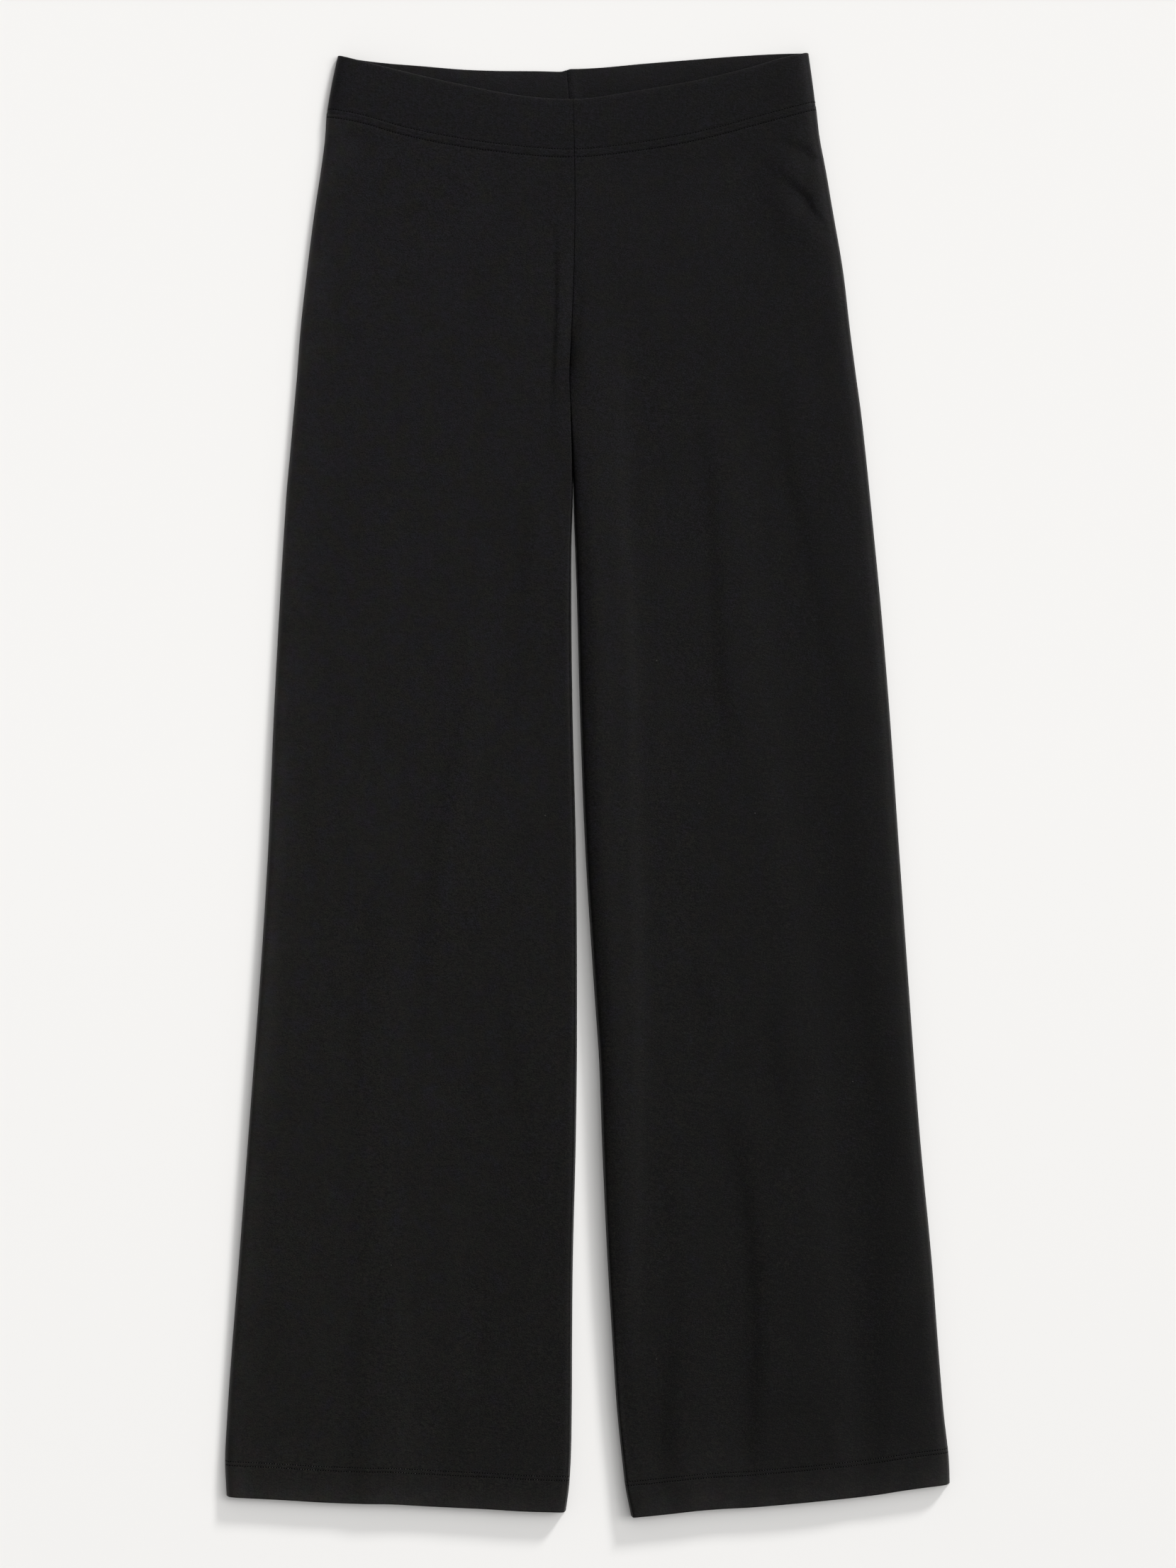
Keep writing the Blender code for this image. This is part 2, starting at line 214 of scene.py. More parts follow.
FLANKS = {
    # each mark: (height, across, rise, width)
    Leg.LEFT: (
        # the long soft ridge down the inner thigh: its broad fall, and the narrower one at its foot
        fold((-553, 22, -0.1, 26), (-430, 24, -0.2, 26), (-300, 24, -0.3, 24), (-120, 22, -0.6, 26),
             (20, 18, -0.7, 28), (150, 14, -0.6, 30), (300, 10, -0.9, 34), (400, 6, 0, 34)),
        fold((-450, 35, 0, 12), (-400, 36, -0.6, 12), (-300, 38, -0.9, 12), (-200, 39, -1.2, 13),
             (-100, 38, -1.2, 12), (0, 36, -0.8, 11), (100, 34, -0.9, 11), (200, 28, -1.0, 14), (300, 26, -0.8, 18),
             (380, 24, 0, 22)),
        # the long bright fall from the thigh to the hem
        fold((310, 108, 0, 30), (250, 116, -0.4, 30), (130, 128, -0.9, 32), (50, 136, -0.9, 34), (0, 142, -0.8, 30),
             (-50, 150, -0.7, 26), (-100, 157, -0.5, 20), (-150, 165, -0.5, 22), (-220, 175, -0.9, 26),
             (-300, 178, -1.4, 28), (-400, 190, -1.2, 28), (-480, 198, -1.0, 22), (-553, 201, -0.8, 22)),
        fold((-440, 95, 0, 26), (-500, 97, -0.5, 26), (-553, 98, -0.5, 26)),
        fold((310, 88, 0, 12), (250, 91, 0.4, 12), (200, 94, 0.8, 11), (150, 97, 0.8, 11), (100, 100, 0.9, 11),
             (60, 103, 0.9, 11), (35, 106, 0.5, 12), (10, 108, 0, 14)),
        fold((310, 145, 0, 16), (280, 148, 0.5, 14), (230, 154, 0.7, 13), (190, 163, 0.7, 15), (150, 173, 0.65, 18),
             (100, 183, 0.7, 22), (60, 192, 0.7, 24), (0, 197, 0.8, 30), (-50, 196, 1.0, 38), (-100, 200, 1.1, 40),
             (-150, 208, 1.1, 30), (-200, 215, 1.0, 26), (-300, 220, 1.2, 38), (-400, 219, 1.5, 30),
             (-450, 218, 1.2, 24), (-500, 219, 1.0, 24), (-553, 222, 0.6, 24)),
        fold((390, 156, 0, 36), (435, 142, 1.6, 36), (470, 138, 1.8, 36), (500, 136, 0, 36)),
        fold((-215, 83, 0, 12), (-170, 89, 0.5, 12), (-120, 80, 0, 12)),
        fold((-260, 152, 0, 14), (-230, 147, 0.5, 14), (-190, 142, 0.5, 14), (-140, 145, 0, 14)),
        fold((-232, 108, 0, 16), (-258, 111, 0.8, 16), (-300, 119, 1.4, 16), (-350, 125, 1.6, 15),
             (-400, 127, 1.7, 14), (-450, 127, 1.7, 14), (-500, 125, 1.5, 14), (-520, 125, 0.7, 16),
             (-553, 127, 0.3, 20)),
        fold((-430, 150, 0, 34), (-470, 150, 0.9, 34), (-510, 152, 0.9, 34), (-553, 152, 0.3, 34)),
        fold((-260, 60, 0, 16), (-310, 62, 0.5, 16), (-400, 65, 0.8, 18), (-435, 64, 1.8, 20), (-490, 61, 2.1, 18),
             (-515, 62, 1.4, 18), (-553, 68, 0.3, 18)),
    ),
    Leg.RIGHT: (
        fold((120, -76, 0, 22), (70, -80, -0.6, 20), (0, -90, -0.6, 20), (-50, -98, -0.5, 20), (-95, -104, 0, 20)),
        fold((-60, -145, 0, 26), (-130, -145, -0.25, 26), (-220, -148, -0.25, 26), (-310, -147, -0.4, 24),
             (-400, -139, -0.7, 22), (-460, -138, -0.7, 22), (-553, -136, -0.5, 22)),
        fold((130, -92, 0, 18), (80, -96, 0.3, 18), (20, -103, 0.45, 18), (-60, -116, 0.55, 16),
             (-100, -120, 0.75, 13), (-130, -122, 0.5, 13), (-180, -126, 0.2, 16), (-230, -130, 0, 18)),
        fold((-65, -158, 0, 16), (-100, -163, 0.5, 15), (-150, -169, 0.6, 18), (-200, -174, 0.65, 18),
             (-230, -176, 0.4, 20), (-300, -174, 0.4, 20), (-400, -172, 0.6, 20), (-440, -172, 1.0, 24),
             (-500, -173, 1.3, 22), (-553, -170, 1.4, 20)),
        fold((-145, -61, 0, 12), (-175, -60, 0.4, 11), (-220, -54, 0.5, 12), (-260, -47, 0.45, 14),
             (-330, -38, 0.2, 18), (-400, -36, 0, 20)),
        fold((-180, -75, 0, 50), (-220, -75, 0.8, 46), (-290, -72, 0.4, 50), (-400, -58, 0.8, 60),
             (-480, -58, 1.0, 60), (-553, -60, 0.4, 60)),
        fold((-330, -76, 0, 14), (-400, -76, 0.4, 12), (-460, -77, 0.3, 14), (-500, -78, 0, 14)),
        fold((-440, -104, 0, 30), (-480, -100, 0.9, 32), (-510, -98, 0.8, 32), (-553, -98, 0.2, 32)),
        fold((-300, -94, 0, 26), (-350, -94, -0.4, 26), (-430, -94, -0.3, 26), (-480, -94, 0, 26)),
        fold((230, -44, 0, 14), (190, -46, 0.5, 12), (140, -48, 0.5, 12), (60, -50, 0, 14)),
        # the soft pleat beside the centre seam
        fold((225, -27.5, 0, 9), (292, -25.8, 0.36, 4), (325, -24.5, 0.55, 2.8), (365, -23.2, 0.55, 2.6),
             (410, -23.4, 0.22, 3), (435, -22.8, 0, 3)),
        fold((312, -15, 0, 9), (340, -16.5, -0.35, 8), (365, -15.5, -0.5, 9), (405, -14, -0.3, 8),
             (432, -13, 0, 8)),
    ),
}


class CreaseMark(NamedTuple):
    """One mark on a crease: its place, how deep the cloth is pinched there, and the pinch's half width."""
    across: float
    height: float
    depth: float
    width: float


def crease(*marks: tuple) -> tuple:
    """A crease's marks, from end to end."""
    return tuple(CreaseMark(*mark) for mark in marks)


CREASES = {
    # each mark: (across, height, depth, width)
    Leg.LEFT: (
        crease((132, 468, 0, 3), (143, 459.5, 0.3, 3.2), (152, 452, 0.7, 3.4), (160, 445.2, 1.2, 3.5),
               (165.5, 439, 1.55, 3.6), (168.5, 434.5, 0.4, 3.6), (170, 432, 0, 3.6)),
        crease((150, 482, 0, 4.5), (158, 479, 0.6, 4.5), (164, 476.5, 1.0, 4.5), (171, 472.5, 0, 4.5)),
        crease((137, 497, 0, 4), (147, 490, 0.3, 5), (156, 484, 0, 5)),
        crease((176, 427, 0, 2.5), (179, 420, 0.4, 2.8), (182, 411, 0, 2.8)),
        crease((-5.2, 392, 0, 2), (-5.8, 370, 0.18, 2), (-6.5, 350, 0.22, 2), (-8.0, 338, 0, 2)),
        crease((174, -462, 0, 3), (183, -480, -0.3, 3), (191, -501, -0.25, 3), (195, -512, 0, 3)),
    ),
    Leg.RIGHT: (
        crease((-192, 486, 0, 3.5), (-182, 487, 0.5, 3.5), (-170, 486, 0.5, 3.5), (-158, 486, 0, 3.5)),
    ),
}


def smooth_line(rows: Sequence[Sequence[float]], at: Array) -> Array:
    """Reads the smooth line through (place, value) rows: a cubic between each two, with slopes by differences.

    Args:
        rows: Rows whose first two entries are place and value, with the places in order, either way round.
        at: The places asked for. Past the ends the line is level.

    Returns:
        The values, in the shape of at.
    """
    place, value = np.array([row[:2] for row in rows], float).T
    if place[0] > place[-1]:
        place, value = place[::-1], value[::-1]
    slope = np.gradient(value, place)
    at = np.clip(np.asarray(at, float), place[0], place[-1])
    left = np.clip(np.searchsorted(place, at) - 1, 0, len(place) - 2)
    span = place[left + 1] - place[left]
    t = (at - place[left]) / span
    start = (1 + 2 * t) * (1 - t) ** 2 * value[left] + t * (1 - t) ** 2 * span * slope[left]
    end = t ** 2 * (3 - 2 * t) * value[left + 1] + t ** 2 * (t - 1) * span * slope[left + 1]
    return start + end


def soft_step(at: Array, low: float, high: float) -> Array:
    """0 below low, 1 above high, and the S-shaped 3t^2 - 2t^3 between."""
    t = np.clip((at - low) / (high - low), 0, 1)
    return t * t * (3 - 2 * t)


def bell(at: Array, width: float) -> Array:
    """The bell curve exp(-(at / width)^2)."""
    return np.exp(-(np.asarray(at) / width) ** 2)


def levelling(distance: Array, softness: float) -> Array:
    """How far the cloth has come up, 0 to 1, at a distance in from a fold: 1 - exp(-(distance / softness)^0.75)."""
    return 1 - np.exp(-(np.maximum(distance, 0) / softness) ** 0.75)


@dataclass(frozen=True)
class Spacing:
    """How close the grid lines of a surface are: fine at the marked places, and coarse away from them."""
    fine: float
    coarse: float
    reach: float

    def places(self, start: float, end: float, marks: Sequence[float], closer: Sequence[tuple] = ()) -> Array:
        """Grid places from start to end, with every mark among them.

        Between two lines the step is fine + (coarse - fine) (1 - exp(-distance / reach)), with the distance to the
        nearest mark. The number of steps in each stretch between marks is the integral of 1 / step, rounded.

        Args:
            start: The first place.
            end: The last place.
            marks: Places where the grid is fine.
            closer: Stretches (low, high, step) with no longer a step than that.

        Returns:
            The places in order.
        """
        stops = sorted({start, end, *[m for m in marks if start < m < end]})
        near = np.array(marks)
        lines = [np.array([start])]
        for low, high in zip(stops, stops[1:]):
            s = np.linspace(low, high, 2000)
            away = np.abs(s[:, None] - near[None, :]).min(axis=1)
            step = self.fine + (self.coarse - self.fine) * (1 - np.exp(-away / self.reach))
            for begin, finish, longest in closer:
                step = np.where((s > begin) & (s < finish), np.minimum(step, longest), step)
            count = np.concatenate([[0], np.cumsum((1 / step[1:] + 1 / step[:-1]) / 2 * np.diff(s))])
            steps = max(1, round(count[-1]))
            lines.append(np.interp(np.linspace(0, count[-1], steps + 1)[1:], count, s))
        return np.concatenate(lines)


@dataclass(frozen=True)
class Undulation:
    """The faint unevenness of cloth that was smoothed by hand: the sum of a few long, low waves.

    Each wave is height * sin(2 pi (x cos(a) + y sin(a)) / length + phase), with its direction a, length and phase
    drawn from a seeded generator.
    """
    seed: int
    height: float
    shortest: float
    longest: float
    waves: int = 7
    turn: float = 0.6           # the directions lie within this many radians of straight across

    def at(self, across: Array, height: Array) -> Array:
        """The waves' sum at the places asked for, in millimetres.

        Args:
            across: Places across, in millimetres.
            height: Their heights.

        Returns:
            The waves' sum there, in millimetres.
        """
        draw = np.random.default_rng(self.seed)
        total = np.zeros(np.broadcast(across, height).shape)
        for _ in range(self.waves):
            angle = draw.uniform(-self.turn, self.turn)
            length = draw.uniform(self.shortest, self.longest)
            phase = draw.uniform(0, 2 * math.pi)
            along = across * math.cos(angle) + height * math.sin(angle)
            total = total + np.sin(2 * math.pi * along / length + phase) * self.height / math.sqrt(self.waves)
        return total


@dataclass(frozen=True)
class CoverStitch:
    """Two needle rows of coverstitching and how they pull at the cloth."""
    rows: tuple                 # each row's distance from the edge or seam that it follows
    pitch: float                # length of a stitch
    groove: float               # how deep the thread pulls the cloth in
    groove_width: float
    strip: float                # how high the cloth stands between the rows
    mouth: float                # radius of the disc of painted shade at a needle hole's mouth
    ramp: float = 0.6           # half the width over which the strip rises

    def relief(self, off: Array) -> Array:
        """Height of the cloth by distance from the edge: a strip between the rows, and a bell-shaped groove at each.

        Args:
            off: Distances from the edge.

        Returns:
            Heights above the plain cloth.
        """
        low, high = self.rows
        started, ended = (soft_step(off, row - self.ramp, row + self.ramp) for row in (low, high))
        total = started * (1 - ended) * self.strip
        for row in (low, high):
            total = total - self.groove * bell(off - row, self.groove_width)
        return total


# --- Meshes ---

@dataclass(frozen=True)
class Edges:
    """How far a wall's rounded rim stands proud at each edge of its grid."""
    first_row: float
    last_row: float
    first_column: float
    last_column: float


@dataclass
class Surface:
    """One face of a wall: a grid of points, a row for each line across, and how much painted glow of light each point
    gets.
    """
    points: Array               # (rows, columns, 3)
    glow_share: Array


ARC_STEPS = 3                   # grid lines in each quarter of a rounded rim
SHARP = 62.0                    # edges that turn by more than this are left sharp
GLOW_REACH = 6.3                # the painted glow of light at an edge falls to 1 / e over this distance


def painted_glow(from_side: Array, from_hem: Array, hem_reach: float) -> Array:
    """How much painted glow of light the cloth gets, by its distances from the side and the hem or top edge: exp(-a /
    r) + exp(-b / s).
    """
    return np.exp(-from_side / GLOW_REACH) + np.exp(-from_hem / hem_reach)


def outward(edge: Array, neighbour: Array, across_wall: Array) -> Array:
    """Unit vectors that leave a wall at its edge, away from the neighbouring line and square to the wall.

    They are t - (t . d) d, for the direction t away from the neighbour and the direction d through the wall.

    Args:
        edge: Points of the edge.
        neighbour: Points of the line beside it.
        across_wall: Vectors through the wall there.

    Returns:
        The unit vectors.
    """
    wall = across_wall / np.maximum(np.linalg.norm(across_wall, axis=-1, keepdims=True), 1e-9)
    away = edge - neighbour
    away = away - (away * wall).sum(axis=-1, keepdims=True) * wall
    return away / np.maximum(np.linalg.norm(away, axis=-1, keepdims=True), 1e-9)


class Wall:
    """A closed wall of cloth between an outer and an inner grid, with half-elliptical rims round all four edges.

    Each row of the two grids is joined into one loop round the cloth, and the loops close at the first and last row
    by shrinking to the middle of the wall: middle + (point - middle) cos(a) + outwards * bulge * sin(a), for a from 0
    to a quarter turn.
    """

    def __init__(self, outer: Surface, inner: Array, edges: Edges) -> None:
        """Joins the two grids.

        Args:
            outer: The outer face.
            inner: The inner face's points, matching the outer's.
            edges: How far each rim stands proud.
        """
        out = outer.points
        quarter = np.linspace(0, math.pi / 2, ARC_STEPS + 1)[1:]
        sweep = np.concatenate([quarter, math.pi - quarter[:-1][::-1]])
        sums, thick = out + inner, out - inner
        rims = [self._arcs(sums[:, edge] / 2, thick[:, edge] / 2 * sign,
                           outward(sums[:, edge], sums[:, beside], thick[:, edge]), proud, sweep, 1)
                for edge, beside, sign, proud in ((-1, -2, 1, edges.last_column), (0, 1, -1, edges.first_column))]
        loop = np.concatenate([out, rims[0], inner[:, ::-1], rims[1]], axis=1)
        glow_share = self._round(outer.glow_share, len(sweep))
        middle = self._round(sums / 2, len(sweep))
        first, last = (self._arcs(middle[edge], loop[edge] - middle[edge],
                                  outward(middle[edge], middle[beside], loop[edge] - middle[edge]), proud, turn, 0)
                       for edge, beside, proud, turn in ((0, 1, edges.first_row, quarter[::-1]),
                                                         (-1, -2, edges.last_row, quarter)))
        self.loops = np.concatenate([first, loop, last])
        self.glow_share = np.concatenate([np.repeat(glow_share[:1], ARC_STEPS, 0), glow_share, np.repeat(glow_share[-1:], ARC_STEPS, 0)])

    @staticmethod
    def _arcs(middle: Array, half: Array, away: Array, proud: float, turn: Array, axis: int) -> Array:
        """Lines round a rim: middle + half cos(a) + away * proud * sin(a), for each angle a of the turn."""
        return np.stack([middle + half * math.cos(a) + away * proud * math.sin(a) for a in turn], axis=axis)

    @staticmethod
    def _round(values: Array, rim: int) -> Array:
        """The values of a grid carried once round the wall, each edge's own repeated over its rim."""
        ends = [np.repeat(values[:, edge], rim, 1) for edge in (slice(-1, None), slice(0, 1))]
        return np.concatenate([values, ends[0], values[:, ::-1], ends[1]], axis=1)

    def faces(self) -> Array:
        """Quads round and along the loops, numbered row by row.

        Returns:
            Vertex numbers, four to a face.
        """
        rows, around = self.loops.shape[:2]
        index = np.arange(rows * around).reshape(rows, around)
        a, b = index[:-1], index[1:]
        quads = np.stack([a, np.roll(a, -1, axis=1), np.roll(b, -1, axis=1), b], axis=-1)
        return quads.reshape(-1, 4)

    def cloth_map(self) -> Array:
        """Flat cloth coordinates in metres: the way round each loop, and the height.

        Returns:
            A pair for each point of the loops.
        """
        step = np.linalg.norm(np.diff(self.loops, axis=1), axis=-1)
        round_it = np.concatenate([np.zeros((len(step), 1)), np.cumsum(step, axis=1)], axis=1)
        return np.stack([round_it, self.loops[..., 1]], axis=-1) * METRE


def signed_volume(points: Array, quads: Array) -> float:
    """Volume inside the faces, below 0 if they point inwards: the sum of a . (b x c) / 6 over their triangles.

    Args:
        points: Vertices.
        quads: Vertex numbers of each face.

    Returns:
        The volume.
    """
    total = 0.0
    for corners in ((0, 1, 2), (0, 2, 3)):
        a, b, c = (points[quads[:, k]] for k in corners)
        total += float((a * np.cross(b, c)).sum()) / 6
    return total


def new_mesh(name: str, points: Array, quads: Array) -> bpy.types.Mesh:
    """Makes a smooth mesh, in metres and centred on the garment, with its faces pointing outwards.

    Args:
        name: The mesh's name.
        points: Vertices in millimetres.
        quads: Vertex numbers of each face.

    Returns:
        The mesh.
    """
    placed = (points - np.array([*LAY_CENTRE, 0.0])) * METRE
    if signed_volume(placed - placed.mean(axis=0), quads) < 0:
        quads = quads[:, ::-1]
    mesh = bpy.data.meshes.new(name)
    mesh.vertices.add(len(placed))
    mesh.vertices.foreach_set("co", placed.astype(np.float32).ravel())
    mesh.loops.add(quads.size)
    mesh.loops.foreach_set("vertex_index", quads.astype(np.int32).ravel())
    mesh.polygons.add(len(quads))
    mesh.polygons.foreach_set("loop_start", np.arange(0, quads.size, 4, dtype=np.int32))
    mesh.polygons.foreach_set("use_smooth", np.ones(len(quads), dtype=bool))
    mesh.update(calc_edges=True)
    return mesh


def set_point_values(mesh: bpy.types.Mesh, name: str, values: Array) -> None:
    """Stores a number for every vertex as a named attribute."""
    layer = mesh.attributes.new(name, "FLOAT", "POINT")
    layer.data.foreach_set("value", values.astype(np.float32).ravel())


def set_uv(mesh: bpy.types.Mesh, name: str, coordinates: Array) -> None:
    """Stores flat coordinates of every vertex as a UV map.

    Args:
        mesh: The mesh.
        name: The map's name.
        coordinates: A pair for each vertex.
    """
    corner = np.zeros(len(mesh.loops), dtype=np.int32)
    mesh.loops.foreach_get("vertex_index", corner)
    layer = mesh.uv_layers.new(name=name)
    layer.data.foreach_set("uv", coordinates[corner].astype(np.float32).ravel())


def merge_doubles(mesh: bpy.types.Mesh) -> None:
    """Welds the vertices that coincide where a wall's loops close.

    Args:
        mesh: The mesh, changed in place.
    """
    bm = bmesh.new()
    bm.from_mesh(mesh)
    bmesh.ops.remove_doubles(bm, verts=bm.verts, dist=WELD)
    bmesh.ops.dissolve_degenerate(bm, edges=bm.edges, dist=SLIVER)
    bm.to_mesh(mesh)
    bm.free()


def add_object(name: str, mesh: bpy.types.Mesh) -> bpy.types.Object:
    """Puts a mesh in the scene as an object at the origin.

    Args:
        name: The object's name.
        mesh: Its mesh.

    Returns:
        The object.
    """
    piece = bpy.data.objects.new(name, mesh)
    bpy.context.scene.collection.objects.link(piece)
    return piece


def add_wall(name: str, wall: Wall) -> bpy.types.Object:
    """Makes a wall's mesh, its cloth map and its attribute of painted glow, and adds it to the scene.

    Args:
        name: The object's name.
        wall: The wall.

    Returns:
        The object.
    """
    points = wall.loops.reshape(-1, 3)
    mesh = new_mesh(name, points, wall.faces())
    set_point_values(mesh, "glow_share", wall.glow_share)
    set_uv(mesh, "cloth", wall.cloth_map().reshape(-1, 2))
    merge_doubles(mesh)
    mesh.set_sharp_from_angle(angle=math.radians(SHARP))
    return add_object(name, mesh)


# --- Finishes ---

def operator(operation: str, swapped: bool = False) -> "Callable[[Socket, Socket | float], Socket]":
    """Makes a method of Socket for an operator.

    Args:
        operation: The Math node's operation.
        swapped: Whether the other value comes first, as in 1 - mask.

    Returns:
        The method.
    """
    def method(this: "Socket", other: "Socket | float") -> "Socket":
        """Adds the Math node to the two values."""
        return this.maths(operation, first=other) if swapped else this.maths(operation, other)
    return method


class Socket:
    """An output in a material's node tree that can be written in an expression, where it adds Math nodes."""

    def __init__(self, graph: "Graph", socket: bpy.types.NodeSocket) -> None:
        """Wraps a socket of a graph."""
        self.graph = graph
        self.socket = socket

    def maths(self, operation: str, *others: "Socket | float", first: "float | None" = None) -> "Socket":
        """Adds one Math node.

        Args:
            operation: The node's operation.
            others: The inputs after this socket's.
            first: A number that comes before this socket, for the reflected operators.

        Returns:
            The node's output.
        """
        given = [self, *others] if first is None else [first, self, *others]
        node = self.graph.node("ShaderNodeMath", {"operation": operation}, dict(enumerate(given)))
        return Socket(self.graph, node.outputs[0])

    __add__ = __radd__ = operator("ADD")
    __mul__ = __rmul__ = operator("MULTIPLY")
    __sub__, __rsub__ = operator("SUBTRACT"), operator("SUBTRACT", swapped=True)
    __truediv__, __rtruediv__ = operator("DIVIDE"), operator("DIVIDE", swapped=True)
    __pow__ = operator("POWER")
    least, most = operator("MINIMUM"), operator("MAXIMUM")      # the smaller, and the larger, of two

    def sine(self) -> "Socket":
        """The sine of this, in radians."""
        return self.maths("SINE")

    def smooth(self, low: float, high: float) -> "Socket":
        """0 below low, 1 above high, and a smooth turn between.

        Args:
            low: Where it leaves 0.
            high: Where it reaches 1.

        Returns:
            The softened step.
        """
        node = self.graph.node("ShaderNodeMapRange", {"interpolation_type": "SMOOTHSTEP"},
                               {"Value": self, "From Min": low, "From Max": high})
        return Socket(self.graph, node.outputs["Result"])


class Graph:
    """The nodes of a material or a surround, built round its own shader."""

    def __init__(self, owner: "bpy.types.Material | bpy.types.World", shader: str) -> None:
        """Turns on the owner's nodes and finds its shader by name.

        Args:
            owner: The material or surround.
            shader: Its shader node's name.
        """
        owner.use_nodes = True
        self.owner = owner
        self.tree = owner.node_tree
        self.shader = self.tree.nodes[shader]

    @classmethod
    def finish(cls, name: str) -> "Graph":
        """The nodes of a new material with an empty Principled shader."""
        return cls(bpy.data.materials.new(name), "Principled BSDF")

    def node(self, kind: str, settings: "dict | None" = None, inputs: "dict | None" = None) -> bpy.types.Node:
        """Adds any node.

        Args:
            kind: The node's type.
            settings: Its own properties, set first.
            inputs: Values or links by socket name or number.

        Returns:
            The node.
        """
        made = self.tree.nodes.new(kind)
        for key, value in (settings or {}).items():
            setattr(made, key, value)
        for key, value in (inputs or {}).items():
            self.feed(made, key, value)
        return made

    def shade(self, inputs: dict) -> "bpy.types.Material | bpy.types.World":
        """Sets or links the shader's inputs.

        Args:
            inputs: Values or links by socket name.

        Returns:
            What the shader belongs to.
        """
        for key, value in inputs.items():
            self.feed(self.shader, key, value)
        return self.owner

    def place(self) -> Socket:
        """Object coordinates."""
        return self.output(self.node("ShaderNodeTexCoord"), "Object")

    def flat(self, name: str) -> Socket:
        """The coordinates of a UV map."""
        return self.output(self.node("ShaderNodeUVMap", {"uv_map": name}))

    def feed(self, node: bpy.types.Node, key: "str | int", value: "Socket | float | tuple") -> None:
        """Sets or links one input of a node.

        Args:
            node: The node.
            key: The input's name or number.
            value: A link or a constant.
        """
        if isinstance(value, Socket):
            self.tree.links.new(value.socket, node.inputs[key])
        else:
            node.inputs[key].default_value = value

    def output(self, node: bpy.types.Node, key: "str | int" = 0) -> Socket:
        """One output of a node."""
        return Socket(self, node.outputs[key])

    def noise(self, place: Socket, scale: float, detail: float, rough: float = 0.5) -> Socket:
        """Soft noise about 0.5, at a number of grains for each unit of place."""
        return self.output(self.node("ShaderNodeTexNoise", {"noise_dimensions": "3D"},
                                     {"Vector": place, "Scale": scale, "Detail": detail, "Roughness": rough}), 0)

    def stretched(self, place: Socket, factors: tuple) -> Socket:
        """Coordinates multiplied axis by axis."""
        node = self.node("ShaderNodeVectorMath", {"operation": "MULTIPLY"}, {0: place, 1: factors})
        return self.output(node)

    def axes(self, place: Socket) -> tuple:
        """The three numbers of a vector."""
        node = self.node("ShaderNodeSeparateXYZ", inputs={0: place})
        return tuple(Socket(self, out) for out in node.outputs)

    def tint(self, amount: Socket, low: "Socket | tuple", high: "Socket | tuple") -> Socket:
        """A colour between two, by an amount from 0 to 1.

        Args:
            amount: The share of the second.
            low: The colour at 0.
            high: The colour at 1.

        Returns:
            The colour.
        """
        low, high = ((*ink, 1.0) if isinstance(ink, tuple) else ink for ink in (low, high))
        node = self.node("ShaderNodeMix", {"data_type": "RGBA", "clamp_factor": False},
                         {"Factor": amount, 6: low, 7: high})
        return Socket(self, node.outputs[2])

    def bump(self, height: Socket, distance: float, strength: float, under: "Socket | None" = None) -> Socket:
        """A Bump node, on top of another where one is given.

        Args:
            height: What stands out.
            distance: By how much, in metres.
            strength: How strongly it shows.
            under: The normal that it is added to.

        Returns:
            The normal.
        """
        inputs = {"Height": height, "Distance": distance, "Strength": strength}
        if under is not None:
            inputs["Normal"] = under
        return self.output(self.node("ShaderNodeBump", inputs=inputs))


@dataclass(frozen=True)
class Grain:
    """A soft noise in the cloth's tone."""
    amount: float               # how much it changes the tone
    scale: float                # grains in a metre
    detail: float = 2.0
    rough: float = 0.5
    stretch: float = 1.0        # how much finer it is along the garment than across

    def on(self, g: Graph, place: Socket) -> Socket:
        """The noise, about 0.5, at Object coordinates."""
        return g.noise(g.stretched(place, (1.0, self.stretch, 1.0)), self.scale, self.detail, self.rough)


